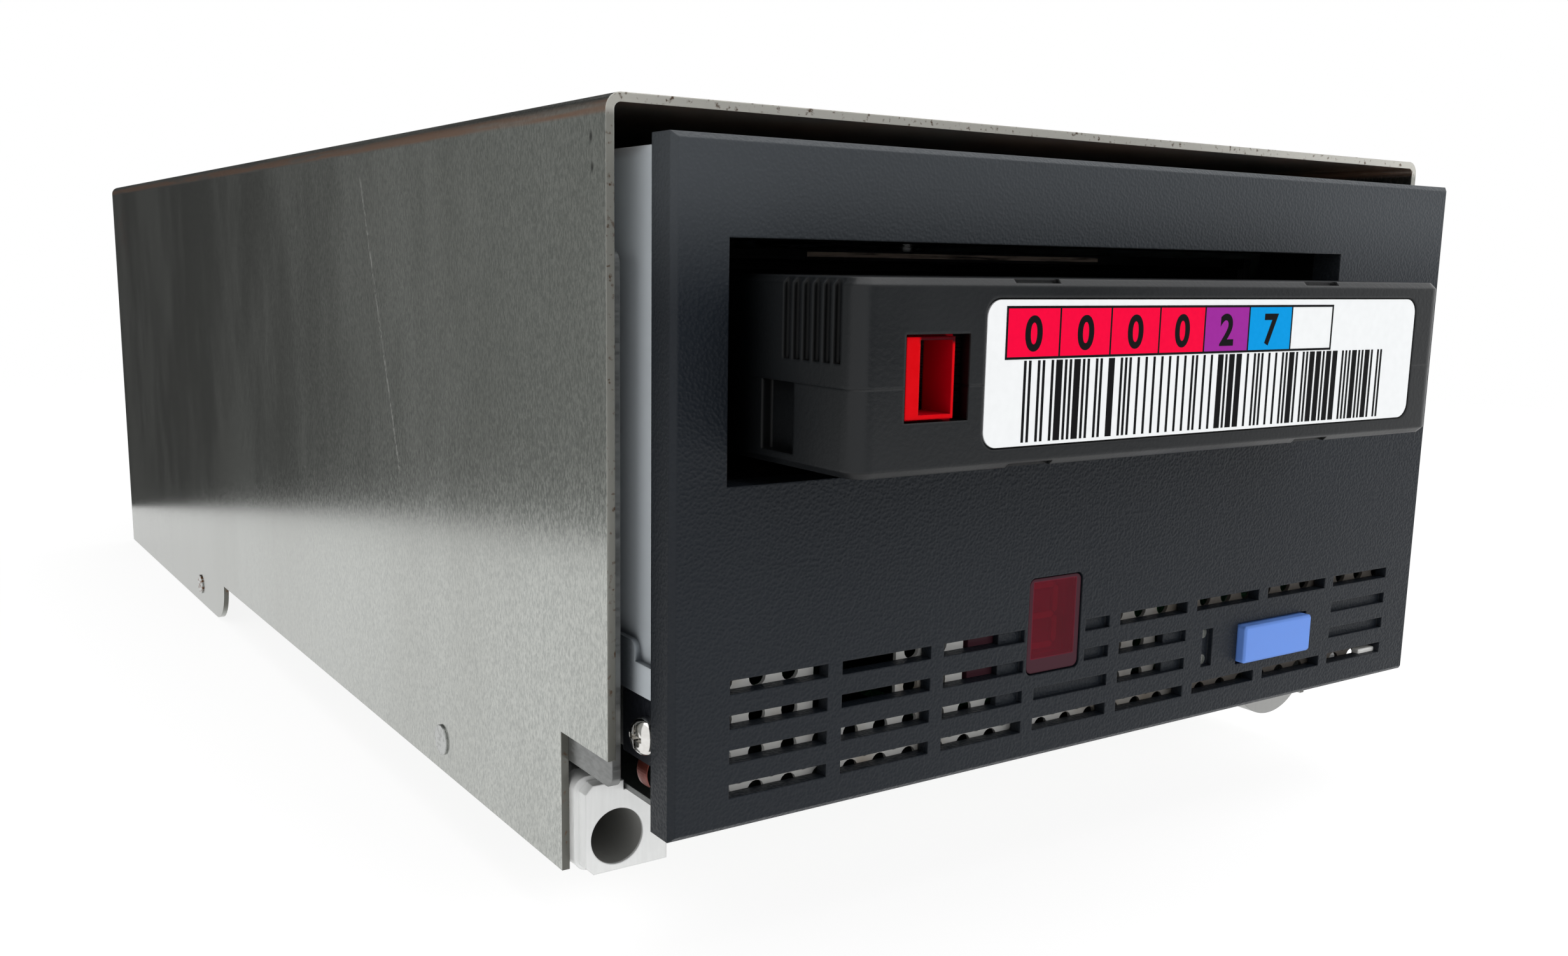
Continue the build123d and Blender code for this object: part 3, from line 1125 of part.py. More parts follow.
def cartridge_shells():
    """Top and bottom shells: hollow, with the label recess, grip ribs and openings."""
    wall = CART_WALL
    corner = CART_CORNER - wall / 2
    plan = rect(CART_LEFT + wall, CART_RIGHT - wall, CART_FRONT + wall, CART_REAR - wall, corner)
    solid = cartridge_body() - along_z(plan, CART_BOTTOM + wall, CART_TOP - wall)
    solid -= along_y(label_outline(LABEL_PLAY), CART_FRONT, CART_FRONT + LABEL_RECESS)
    window = rect(TAB_WINDOW_LEFT, TAB_WINDOW_RIGHT, TAB_WINDOW_BOTTOM, TAB_WINDOW_TOP)
    solid -= along_y(window, CART_FRONT, CART_FRONT + wall)
    for k in range(RIB_COUNT):
        y = CART_FRONT + RIB_FIRST + k * RIB_PITCH
        groove = rect(y, y + RIB_GROOVE, CART_TOP - RIB_H, CART_TOP)
        solid -= along_x(groove, CART_LEFT, CART_LEFT + RIB_DEPTH)
        solid -= along_x(groove, CART_RIGHT - RIB_DEPTH, CART_RIGHT)
    low = CART_BOTTOM + wall
    high = CART_TOP - wall
    hub_hole = along_z(disc(CART_X, HUB_Y, HUB_HOLE_R), CART_BOTTOM, low)
    open_y = DOOR_FRONT + DOOR_MARGIN
    door = rect(open_y, open_y + DOOR_OPENING, low + LEADER_SOCKET_H, high - LEADER_SOCKET_H)
    solid = solid - hub_hole - along_x(door, CART_RIGHT - wall, CART_RIGHT)
    pin = disc(LEADER_PIN_X, LEADER_PIN_Y, LEADER_PIN_R)
    socket = disc(LEADER_PIN_X, LEADER_PIN_Y, LEADER_PIN_R + LEADER_SOCKET_WALL) - pin
    solid += along_z(socket, low, low + LEADER_SOCKET_H)
    solid += along_z(socket, high - LEADER_SOCKET_H, high)
    solid += grip_blocks(CART_EDGE, GRIP_NOTCH_DEPTH + GRIP_NOTCH_WALL, GRIP_NOTCH_WALL)
    solid -= grip_blocks(0, GRIP_NOTCH_DEPTH)
    above = block(CART_LEFT, CART_RIGHT, CART_FRONT, CART_REAR, CART_PARTING, CART_TOP)
    below = block(CART_LEFT, CART_RIGHT, CART_FRONT, CART_REAR, CART_BOTTOM, CART_PARTING)
    return solid & above, solid & below


def grip_blocks(start, reach, wall=0.0):
    """Room of the gripper's notches low on both sides, or the walls round it inside the shell."""
    front = CART_FRONT + GRIP_NOTCH_FRONT
    low = CART_BOTTOM + GRIP_NOTCH_LIFT
    outline = rect(front - wall, front + GRIP_NOTCH_L + wall, low - wall, CART_PARTING)
    left = along_x(outline, CART_LEFT + start, CART_LEFT + reach)
    return left + along_x(outline, CART_RIGHT - reach, CART_RIGHT - start)


def label_outline(play=0.0):
    """Outline of the label on the cartridge's front, or of its recess."""
    left = CART_LEFT + LABEL_SIDE_LEFT - play
    right = CART_RIGHT - LABEL_SIDE_RIGHT + play
    low = CART_BOTTOM + LABEL_SIDE_LOW - play
    top = CART_TOP - LABEL_SIDE_TOP + play
    return rect(left, right, low, top, LABEL_CORNER)


def cartridge_label():
    """Label in its recess on the cartridge's front."""
    rear = CART_FRONT + LABEL_RECESS
    return along_y(label_outline(), rear - LABEL_T, rear)


def cartridge_door():
    """Sliding door inside the cartridge's right wall."""
    outer = CART_RIGHT - CART_WALL - BODY_GAP
    low = CART_BOTTOM + CART_WALL + BODY_GAP
    high = CART_TOP - CART_WALL - BODY_GAP
    plate = along_x(rect(DOOR_FRONT, DOOR_FRONT + DOOR_LENGTH, low, high), outer - DOOR_T, outer)
    grip_end = DOOR_FRONT + DOOR_MARGIN + DOOR_OPENING - BODY_GAP
    grip = rect(grip_end - DOOR_GRIP, grip_end, low + DOOR_GRIP_INSET, high - DOOR_GRIP_INSET)
    return plate + along_x(grip, outer, outer + CART_WALL)


def write_protect_tab():
    """Red slider, open through its middle and held behind the window by its flange."""
    left = TAB_WINDOW_LEFT + BODY_GAP
    right = left + PROTECT_W
    low = TAB_WINDOW_BOTTOM + BODY_GAP
    high = TAB_WINDOW_TOP - BODY_GAP
    face_y = CART_FRONT + BODY_GAP
    flange_y = CART_FRONT + CART_WALL + BODY_GAP
    rear = face_y + PROTECT_DEPTH
    tab = along_y(rect(left, right, low, high), face_y, rear)
    through = rect(left + PROTECT_BAR, right - PROTECT_RIM, low + PROTECT_LIP, high - PROTECT_RIM)
    tab -= along_y(through, face_y, rear)
    grow = PROTECT_FLANGE
    flange = rect(left - grow, right + grow, low - grow, high + grow) - rect(left, right, low, high)
    return tab + along_y(flange, flange_y, flange_y + grow)


def cartridge_reel():
    """Supply reel: two flanges on a hub whose toothed foot shows through the bottom shell."""
    foot = CART_BOTTOM + CART_WALL + BODY_GAP
    low = foot + REEL_FOOT_H
    top = low + FLANGE_T + TAPE_WIDTH
    plate = foot + HUB_PLATE_LIFT
    foot_r = REEL_HUB_R - REEL_HUB_WALL
    profile = [
        (foot_r, foot),
        (REEL_HUB_R, foot),
        (REEL_HUB_R, low),
        (REEL_FLANGE_R, low),
        (REEL_FLANGE_R, low + FLANGE_T),
        (REEL_HUB_R, low + FLANGE_T),
        (REEL_HUB_R, top),
        (REEL_FLANGE_R, top),
        (REEL_FLANGE_R, top + FLANGE_T),
        (0, top + FLANGE_T),
        (0, plate),
        (foot_r, plate),
    ]
    teeth = clutch_teeth(CART_X, HUB_Y, 0)
    return turned(profile, CART_X, HUB_Y) + along_z(teeth, plate - REEL_FOOT_H, plate)


def clutch_teeth(x, y, shift):
    """Ring of radial teeth about a point, turned by a share of their pitch."""
    tooth = Pos(CLUTCH_R - CLUTCH_TOOTH_L / 2, 0) * Rectangle(CLUTCH_TOOTH_L, CLUTCH_TOOTH_W)
    turns = [360 * (k + shift) / CLUTCH_TEETH for k in range(CLUTCH_TEETH)]
    return Sketch() + [Pos(x, y) * Rot(0, 0, turn) * tooth for turn in turns]


def tape_pack():
    """Tape wound on the supply reel."""
    low = CART_BOTTOM + CART_WALL + BODY_GAP + REEL_FOOT_H + FLANGE_T
    ring = disc(CART_X, HUB_Y, TAPE_R) - disc(CART_X, HUB_Y, REEL_HUB_R)
    return along_z(ring, low, low + TAPE_WIDTH)


def leader_pin():
    """Pin at the tape's end, in its sockets behind the door."""
    pin = disc(LEADER_PIN_X, LEADER_PIN_Y, LEADER_PIN_R)
    return along_z(pin, CART_BOTTOM + CART_WALL, CART_TOP - CART_WALL)


# Loader


def cartridge_tray():
    """Open cage that holds the cartridge: side walls, floor ledges and one bridge over the top."""
    roof = TRAY_ROOF + TRAY_SHEET
    left = rect(TRAY_LEFT, TRAY_INNER_LEFT, TRAY_FLOOR, roof)
    left += rect(TRAY_LEFT, CART_X - TRAY_CHANNEL_R, TRAY_FLOOR, TRAY_FLOOR_TOP)
    right_floor = rect(CART_X + TRAY_CHANNEL_R, TRAY_RIGHT, TRAY_FLOOR, TRAY_FLOOR_TOP)
    right_wall = rect(TRAY_INNER_RIGHT, TRAY_RIGHT, TRAY_FLOOR, roof)
    tray = along_y(left, TRAY_FRONT, TRAY_REAR) + along_y(right_floor, TRAY_FRONT, TRAY_REAR)
    tray += along_y(right_wall, TRAY_FRONT, TRAY_SIDE_END)
    bridge = rect(TRAY_LEFT, TRAY_RIGHT, TRAY_ROOF, roof)
    tray += along_y(bridge, TRAY_MIDDLE, TRAY_SIDE_END)
    for y in cam_pins(-1):
        tray += along_x(disc(y, CAM_PIN_Z, CAM_PIN_R), SLIDER_OUTER_LEFT, TRAY_LEFT)
    for y in cam_pins(1):
        tray += along_x(disc(y, CAM_PIN_Z, CAM_PIN_R), TRAY_RIGHT, SLIDER_OUTER_RIGHT)
    return tray


def cam_pins(side):
    """Y of the tray's pins on one side."""
    if side < 0:
        return (TRAY_FRONT + CAM_PIN_INSET, TRAY_REAR - CAM_PIN_INSET)
    return ((TRAY_MIDDLE + TRAY_SIDE_END) / 2,)


def rack_teeth():
    """Teeth below the slider's left plate, with a space over the gear's upright tooth."""
    slope = tan(radians(PRESSURE_ANGLE))
    half_pitch = RACK_PITCH / 4 - BACKLASH / 4
    tip = ADDENDUM * GEAR_MODULE
    root = DEDENDUM * GEAR_MODULE
    last = GEAR_Y + RACK_PITCH / 2
    teeth = []
    for k in range(RACK_TEETH):
        y = last - k * RACK_PITCH
        points = [
            (y - half_pitch - root * slope, RACK_Z + root),
            (y + half_pitch + root * slope, RACK_Z + root),
            (y + half_pitch - tip * slope, RACK_Z - tip),
            (y - half_pitch + tip * slope, RACK_Z - tip),
        ]
        teeth.append(make_face(Polyline(points, close=True)))
    return teeth


def loader_slider():
    """Carriage that takes the tray in: two side plates, a cross bar, guide tongues and the rack."""
    root_z = RACK_Z + DEDENDUM * GEAR_MODULE
    plate = rect(TRAY_FRONT, TRAY_REAR - TONGUE_INSET, root_z, SLIDER_TOP) + rack_teeth()
    short = rect(TRAY_FRONT, TRAY_SIDE_END, root_z, SLIDER_TOP)
    slot_r = CAM_PIN_R + RUNNING
    slot_h = TRAY_DROP + 2 * slot_r
    slot = Pos(0, CAM_PIN_Z - TRAY_DROP / 2) * SlotOverall(slot_h, 2 * slot_r, rotation=90)
    plate -= [Pos(y, 0) * slot for y in cam_pins(-1)]
    short -= [Pos(y, 0) * slot for y in cam_pins(1)]
    slider = along_x(plate, SLIDER_OUTER_LEFT, SLIDER_LEFT) + along_x(short, SLIDER_RIGHT, SLIDER_OUTER_RIGHT)
    bar_front = TRAY_FRONT + SLIDER_BAR_INSET
    bar = rect(bar_front, bar_front + SLIDER_BAR_W, SLIDER_BAR_LOW, SLIDER_TOP)
    slider += along_x(bar, SLIDER_OUTER_LEFT, SLIDER_OUTER_RIGHT)
    front = TRAY_FRONT + TONGUE_INSET
    tongue_top = TONGUE_Z + TONGUE_H
    left = rect(front, TRAY_REAR - 2 * TONGUE_INSET, TONGUE_Z, tongue_top)
    slider += along_x(left, SLIDER_OUTER_LEFT - TONGUE_DEPTH, SLIDER_OUTER_LEFT)
    right = rect(front, TRAY_SIDE_END - 2 * TONGUE_INSET, TONGUE_Z, tongue_top)
    return slider + along_x(right, SLIDER_OUTER_RIGHT, SLIDER_OUTER_RIGHT + TONGUE_DEPTH)


def guide_groove(x0, x1, y0, y1):
    """Room for a tongue in a guide rail, with clearance above and below."""
    return block(x0, x1, y0, y1, TONGUE_Z - BODY_GAP, TONGUE_Z + TONGUE_H + BODY_GAP)


def left_loader_rail():
    """Grooved rail on the base's left wall."""
    inner = SLIDER_OUTER_LEFT - BODY_GAP
    rear = TRAY_REAR + LOAD_TRAVEL
    rail = block(-BASE_INNER, inner, TRAY_FRONT, rear, CART_BOTTOM + GUIDE_RAIL_LOW_LIFT, BASE_TOP)
    return rail - guide_groove(inner - TONGUE_DEPTH, inner, TRAY_FRONT, rear)


def right_loader_rail():
    """Grooved rail on a standing web, right of the tray and short of the door's side."""
    inner = SLIDER_OUTER_RIGHT + BODY_GAP
    rear = TRAY_SIDE_END + LOAD_TRAVEL
    rail = block(inner, inner + RAIL_WEB_T, TRAY_FRONT, rear, FLOOR_TOP, BASE_TOP)
    rail += block(inner, inner + RAIL_FOOT_W, TRAY_FRONT, rear, FLOOR_TOP, FLOOR_TOP + RAIL_FOOT_T)
    return rail - guide_groove(inner, inner + TONGUE_DEPTH, TRAY_FRONT, rear)


def loader_gear():
    """Gear that drives the rack, free on the base's stub axle."""
    outline = gear_sketch(GEAR_MODULE, GEAR_TEETH, GEAR_AXLE_R + RUNNING, 90)
    left = -BASE_INNER + BODY_GAP
    return along_x(Pos(GEAR_Y, GEAR_Z) * outline, left, left + GEAR_WIDTH)


def motor_centre():
    """Y and Z of the motor shaft, one centre distance behind the loader gear."""
    reach = GEAR_MODULE * (GEAR_TEETH + MOTOR_TEETH) / 2
    drop = GEAR_Z - MOTOR_Z
    return GEAR_Y + sqrt(reach * reach - drop * drop), MOTOR_Z


def motor_pinion():
    """Pinion and shaft of the loader motor."""
    y, z = motor_centre()
    direction = degrees(atan2(z - GEAR_Z, y - GEAR_Y))
    phase = meshing_phase(GEAR_TEETH, 90, MOTOR_TEETH, direction)
    outline = gear_sketch(GEAR_MODULE, MOTOR_TEETH, MOTOR_SHAFT_R, phase)
    left = -BASE_INNER + BODY_GAP
    right = left + GEAR_WIDTH
    shaft = along_x(disc(y, z, MOTOR_SHAFT_R), left, right + MOTOR_SHAFT_PAST)
    return along_x(Pos(y, z) * outline, left, right) + shaft


def loader_motor():
    """Small motor on a cradle, its bearing open to the pinion's shaft."""
    y, z = motor_centre()
    half = MOTOR_CRADLE_W / 2
    inset = MOTOR_CRADLE_INSET
    start = -BASE_INNER + BODY_GAP + GEAR_WIDTH + BODY_GAP
    end = start + MOTOR_LENGTH
    motor = along_x(disc(y, z, MOTOR_R), start, end)
    motor += along_x(rect(y - half, y + half, FLOOR_TOP, z), start + inset, end - inset)
    return motor - along_x(disc(y, z, MOTOR_SHAFT_R + RUNNING), start, start + MOTOR_SHAFT_PAST + 1)


# Reel motors and tape path


def reel_stators():
    """Stators of both reel motors, standing on the base's floor."""
    stators = []
    for x, y in ((CART_X, CLUTCH_Y), (TAKEUP_X, TAKEUP_Y)):
        ring = disc(x, y, STATOR_R) - disc(x, y, REEL_SHAFT_R + RUNNING)
        stators.append(along_z(ring, FLOOR_TOP, FLOOR_TOP + STATOR_H))
    return stators


def reel_clutch():
    """Rotor of the front motor with the toothed nose that meets the cartridge's hub."""
    root = CLUTCH_TOP - CLUTCH_TOOTH_H
    profile = rotor_profile() + [(CLUTCH_R, root), (0, root)]
    teeth = clutch_teeth(CART_X, CLUTCH_Y, 0.5)
    return turned(profile, CART_X, CLUTCH_Y) + along_z(teeth, root, CLUTCH_TOP)


def rotor_profile():
    """Shaft and rotor disc of a reel motor, as (radius, z), up to the foot of its nose."""
    foot = FLOOR_TOP + REEL_SHAFT_LIFT
    top = ROTOR_LOW + MOTOR_ROTOR_T
    shaft = [(0, foot), (REEL_SHAFT_R, foot), (REEL_SHAFT_R, ROTOR_LOW)]
    return shaft + [(MOTOR_ROTOR_R, ROTOR_LOW), (MOTOR_ROTOR_R, top), (CLUTCH_R, top)]


def takeup_reel():
    """Take-up reel on its motor, with the pocket in the hub that takes the leader pin."""
    flange = TAPE_LOW - FLANGE_T
    top = TAPE_LOW + TAPE_WIDTH + TAKEUP_PLAY
    profile = rotor_profile() + [
        (CLUTCH_R, flange),
        (TAKEUP_FLANGE_R, flange),
        (TAKEUP_FLANGE_R, TAPE_LOW),
        (TAKEUP_HUB_R, TAPE_LOW),
        (TAKEUP_HUB_R, top),
        (TAKEUP_FLANGE_R, top),
        (TAKEUP_FLANGE_R, top + FLANGE_T),
        (0, top + FLANGE_T),
    ]
    reel = turned(profile, TAKEUP_X, TAKEUP_Y)
    half = TAKEUP_POCKET_W / 2
    pocket = rect(TAKEUP_X, TAKEUP_X + TAKEUP_FLANGE_R, TAKEUP_Y - half, TAKEUP_Y + half)
    pocket &= disc(TAKEUP_X, TAKEUP_Y, TAKEUP_FLANGE_R)
    return reel - along_z(pocket, TAPE_LOW, top + FLANGE_T)


def roller_posts():
    """Fixed posts of the guide rollers, each with a collar under its roller."""
    posts = []
    for x, y in ROLLER_CENTRES:
        collar_top = TAPE_LOW - 2 * FLANGE_T
        top = collar_top + BODY_GAP + ROLLER_H + ROLLER_POST_PAST
        collar = along_z(disc(x, y, ROLLER_POST_R * 2), FLOOR_TOP, collar_top)
        posts.append(collar + along_z(disc(x, y, ROLLER_POST_R), collar_top, top))
    return posts


def guide_roller(x, y):
    """Flanged tape roller on its post."""
    low = TAPE_LOW - 2 * FLANGE_T + BODY_GAP
    high = low + ROLLER_H
    bore = ROLLER_POST_R + RUNNING
    profile = [
        (bore, low),
        (ROLLER_FLANGE_R, low),
        (ROLLER_FLANGE_R, low + ROLLER_FLANGE_T),
        (ROLLER_R, low + ROLLER_FLANGE_T + ROLLER_BEVEL),
        (ROLLER_R, high - ROLLER_FLANGE_T - ROLLER_BEVEL),
        (ROLLER_FLANGE_R, high - ROLLER_FLANGE_T),
        (ROLLER_FLANGE_R, high),
        (bore, high),
    ]
    return turned(profile, x, y)


def head_mount():
    """Base block, two upright rods and the bridge that ties them."""
    y0 = HEAD_RODS[0] - HEAD_END
    y1 = HEAD_RODS[1] + HEAD_END
    foot_top = FLOOR_TOP + HEAD_FOOT_H
    rod_top = FLOOR_TOP + HEAD_ROD_TOP
    mount = block(HEAD_ROD_X - HEAD_END, HEAD_ROD_X + 3 * HEAD_END, y0, y1, FLOOR_TOP, foot_top)
    for y in HEAD_RODS:
        mount += along_z(disc(HEAD_ROD_X, y, HEAD_ROD_R), foot_top, rod_top)
    bridge = block(HEAD_ROD_X - HEAD_END, HEAD_ROD_X + HEAD_END, y0, y1, rod_top, rod_top + HEAD_BRIDGE_T)
    return mount + bridge


def head_block():
    """Head carriage on the rods, with the ribbed face that meets the tape."""
    low = TAPE_LOW - HEAD_BELOW_TAPE
    high = TAPE_LOW + TAPE_WIDTH + HEAD_ABOVE_TAPE
    back = HEAD_FACE_X - HEAD_NOSE
    plan = rect(HEAD_ROD_X - HEAD_BACK, back, HEAD_RODS[0] - HEAD_END, HEAD_RODS[1] + HEAD_END)
    nose = rect(back, HEAD_FACE_X, HEAD_Y - HEAD_NOSE, HEAD_Y + HEAD_NOSE)
    nose -= rect(HEAD_FACE_X - HEAD_GROOVE, HEAD_FACE_X, HEAD_Y - HEAD_GROOVE, HEAD_Y + HEAD_GROOVE)
    head = along_z(plan, low, high) + along_z(nose, low + HEAD_GROOVE, high - HEAD_GROOVE)
    for y in HEAD_RODS:
        head -= along_z(disc(HEAD_ROD_X, y, HEAD_ROD_R + RUNNING), low, high)
    return head


def threader_post():
    """Pivot post of the threader arm."""
    seat = THREADER_Z - BODY_GAP
    pivot = disc(THREADER_X, THREADER_Y, THREADER_PIVOT_R)
    post = along_z(disc(THREADER_X, THREADER_Y, THREADER_POST_R), FLOOR_TOP, seat)
    return post + along_z(pivot, seat, THREADER_Z + 1.5 * THREADER_T)


def threader_arm():
    """Arm over the tape path that takes the leader pin from the door to the take-up hub."""
    middle = Pos(THREADER_REACH / 2, 0)
    end = Pos(THREADER_REACH, 0)
    shape = Circle(THREADER_W) + middle * Rectangle(THREADER_REACH, THREADER_W) + end * Circle(THREADER_EYE_R)
    shape -= Circle(THREADER_PIVOT_R + RUNNING)
    shape -= middle * Rectangle(THREADER_REACH * 0.7, THREADER_SLOT_W)
    shape -= end * Circle(THREADER_HOOK_R)
    placed = Pos(THREADER_X, THREADER_Y) * Rot(0, 0, THREADER_ANGLE) * shape
    return along_z(placed, THREADER_Z, THREADER_Z + THREADER_T)


def build_nodes():
    """Every node of the drive, in bezel coordinates."""
    top_shell, bottom_shell = cartridge_shells()
    nodes = {
        "cover_shell": cover_shell(),
        "base_pan": base_pan(),
        "shell_rivets": shell_rivets(),
        "left_inner_rail": inner_rail(-1),
        "right_inner_rail": inner_rail(1),
        "side_mount_screws": side_mount_screws(),
        "left_guide_block": left_guide_block(),
        "right_guide_lug": right_guide_lug(),
        "rear_panel": rear_panel(),
        "fan_frame": fan_frame(),
        "fan_rotor": fan_rotor(),
        "interface_board": interface_board(),
        "board_standoffs": board_standoffs(),
        "host_port_cages": host_port_cages(),
        "power_connector": power_connector(),
        "bezel": bezel(),
        "slot_throat": slot_throat(),
        "display_window": display_window(),
        "display_digit": display_digit(),
        "led_pipes": led_pipes(),
        "eject_button": eject_button(),
        "eject_switch": eject_switch(),
        "front_board": front_board(),
        "vent_grille": vent_grille(),
        "drive_cover": drive_cover(),
        "drive_base": drive_base(),
        "bottom_plate": bottom_plate(),
        "frame_screws": frame_screws(),
        "main_board": main_board(),
        "rear_connector": rear_connector(),
        "cartridge_top_shell": top_shell,
        "cartridge_bottom_shell": bottom_shell,
        "cartridge_label": cartridge_label(),
        "cartridge_door": cartridge_door(),
        "write_protect_tab": write_protect_tab(),
        "cartridge_reel": cartridge_reel(),
        "tape_pack": tape_pack(),
        "leader_pin": leader_pin(),
        "cartridge_tray": cartridge_tray(),
        "loader_slider": loader_slider(),
        "left_loader_rail": left_loader_rail(),
        "right_loader_rail": right_loader_rail(),
        "loader_gear": loader_gear(),
        "motor_pinion": motor_pinion(),
        "loader_motor": loader_motor(),
        "reel_stators": reel_stators(),
        "reel_clutch": reel_clutch(),
        "takeup_reel": takeup_reel(),
        "roller_posts": roller_posts(),
        "head_mount": head_mount(),
        "head_block": head_block(),
        "threader_post": threader_post(),
        "threader_arm": threader_arm(),
    }
    for number, (x, y) in enumerate(ROLLER_CENTRES, start=1):
        nodes[f"guide_roller_{number}"] = guide_roller(x, y)
    return nodes


def main():
    """Move the drive so that the centre of its footprint is the origin, and write the nodes."""
    os.makedirs("parts", exist_ok=True)
    middle_y = (CART_FRONT + SLED_REAR) / 2
    place = Pos(0, -middle_y, -TAB_BOTTOM)
    for name, shape in build_nodes().items():
        solids = shape if isinstance(shape, list) else [shape]
        placed = [place * solid for solid in solids]
        whole = placed[0] if len(placed) == 1 else Compound(children=placed)
        export_step(whole, f"parts/{name}.step")


main()
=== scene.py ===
import math
import random

import bmesh
import bpy
from mathutils import Matrix, Vector


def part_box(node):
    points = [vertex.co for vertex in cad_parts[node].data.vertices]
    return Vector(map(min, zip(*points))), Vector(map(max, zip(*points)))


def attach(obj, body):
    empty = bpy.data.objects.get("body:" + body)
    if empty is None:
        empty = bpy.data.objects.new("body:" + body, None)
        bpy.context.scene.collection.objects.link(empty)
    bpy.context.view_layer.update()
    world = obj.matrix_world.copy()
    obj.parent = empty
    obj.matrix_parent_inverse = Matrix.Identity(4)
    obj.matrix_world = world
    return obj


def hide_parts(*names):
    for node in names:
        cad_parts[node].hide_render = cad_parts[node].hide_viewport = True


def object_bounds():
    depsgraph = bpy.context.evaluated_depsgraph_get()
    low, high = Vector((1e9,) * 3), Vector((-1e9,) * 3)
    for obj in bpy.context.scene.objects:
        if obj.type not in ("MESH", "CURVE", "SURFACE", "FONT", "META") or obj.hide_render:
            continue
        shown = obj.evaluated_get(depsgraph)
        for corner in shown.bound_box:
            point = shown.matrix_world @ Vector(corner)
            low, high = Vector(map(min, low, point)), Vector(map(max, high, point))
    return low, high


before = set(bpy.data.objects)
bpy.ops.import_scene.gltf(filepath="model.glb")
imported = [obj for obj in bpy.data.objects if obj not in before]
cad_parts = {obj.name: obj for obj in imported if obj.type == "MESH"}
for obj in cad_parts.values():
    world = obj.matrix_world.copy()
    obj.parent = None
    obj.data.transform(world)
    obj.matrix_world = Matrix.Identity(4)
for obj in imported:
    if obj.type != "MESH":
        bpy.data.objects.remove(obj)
cad_box = [list(corner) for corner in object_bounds()]

# ---------------------------------------------------------------- cast base
# The drive's base is a pressure die casting of aluminium alloy, left as it comes from the
# tool: a dull grey skin with faint flow marks. Screws from below hold the boards and the
# posts of the tape path to it.


def screen(red, green, blue):
    """A colour measured on a screen, 0 to 255, as the shader wants it."""
    parts = [c / 255 for c in (red, green, blue)]
    return tuple(c / 12.92 if c <= 0.04045 else ((c + 0.055) / 1.055) ** 2.4 for c in parts) + (1.0,)


def put(finish, kind, inputs=None, **settings):
    """One shader node; each input takes a plain value or another node's output."""
    made = finish.node_tree.nodes.new("ShaderNode" + kind)
    for key, value in settings.items():
        setattr(made, key, value)
    for key, value in (inputs or {}).items():
        if isinstance(value, bpy.types.NodeSocket):
            finish.node_tree.links.new(value, made.inputs[key])
        else:
            made.inputs[key].default_value = value
    return made


def new_finish(name, **sockets):
    """A new finish: returns it, its shader and the place on the piece in metres."""
    finish = bpy.data.materials.new(name)
    finish.use_nodes = True
    shader = finish.node_tree.nodes["Principled BSDF"]
    for key, value in sockets.items():
        shader.inputs[key.replace("_", " ")].default_value = value
    place = put(finish, "TexCoord").outputs["Object"]
    return finish, shader, place


def wire(finish, shader, **sockets):
    """Joins outputs to the shader's sockets."""
    for key, value in sockets.items():
        finish.node_tree.links.new(value, shader.inputs[key.replace("_", " ")])


def clouds(finish, place, per_metre, detail, rough=0.5):
    """Soft random variation between 0 and 1."""
    inputs = {"Vector": place, "Scale": per_metre, "Detail": detail, "Roughness": rough}
    return put(finish, "TexNoise", inputs).outputs["Fac"]


def stretched(finish, place, along):
    """The place multiplied on each axis."""
    return put(finish, "VectorMath", {0: place, 1: along}, operation="MULTIPLY").outputs[0]


def streaks(finish, place, per_metre, detail, rough=0.5):
    """Clouds drawn out along an axis; their number per metre is given for each axis."""
    return clouds(finish, stretched(finish, place, per_metre), 1, detail, rough)


def ramp(finish, value, low, high, start=0.0, end=1.0):
    """A soft step of a value from start to end between low and high."""
    inputs = {"Value": value, "From Min": low, "From Max": high, "To Min": start, "To Max": end}
    return put(finish, "MapRange", inputs, interpolation_type="SMOOTHSTEP").outputs["Result"]


def vary(finish, grain, start, end):
    """A value that goes from start to end over the range that clouds really cover."""
    return ramp(finish, grain, 0.3, 0.7, start, end)


def tint(finish, amount, first, second):
    """The first colour turning into the second by the amount."""
    return put(finish, "Mix", {0: amount, 6: first, 7: second}, data_type="RGBA").outputs[2]


def relief(finish, height, depth, strength, soft_edge=0.0):
    """A bump from a height, on edges rounded by a small radius."""
    inputs = {"Height": height, "Distance": depth, "Strength": strength}
    if soft_edge:
        inputs["Normal"] = put(finish, "Bevel", {"Radius": soft_edge}, samples=4).outputs[0]
    return put(finish, "Bump", inputs).outputs[0]


def dress(finish, *nodes):
    """Puts a finish on pieces that stay as the CAD made them."""
    for node in nodes:
        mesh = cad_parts[node].data
        mesh.materials.clear()
        mesh.materials.append(finish)


cast_skin, shader, place = new_finish("cast aluminium skin", Metallic=0.85)
skin = clouds(cast_skin, place, 900, 4)
flow = streaks(cast_skin, place, (20, 90, 60), 3)
wire(
    cast_skin,
    shader,
    Base_Color=tint(cast_skin, flow, screen(128, 130, 130), screen(168, 170, 168)),
    Roughness=vary(cast_skin, skin, 0.42, 0.62),
    Normal=relief(cast_skin, skin, 0.0002, 0.4, 0.0003),
)
dress(cast_skin, "drive_base", "head_mount", "threader_post")

# ---------------------------------------------------------------- boards
# Glass-epoxy boards with green solder mask over copper tracks, held on the base's bosses
# and on nylon standoffs.


def cells(finish, place, per_metre, feature):
    """A distance pattern of cells, as on pebbles or between tracks."""
    inputs = {"Vector": place, "Scale": per_metre}
    return put(finish, "TexVoronoi", inputs, feature=feature).outputs["Distance"]


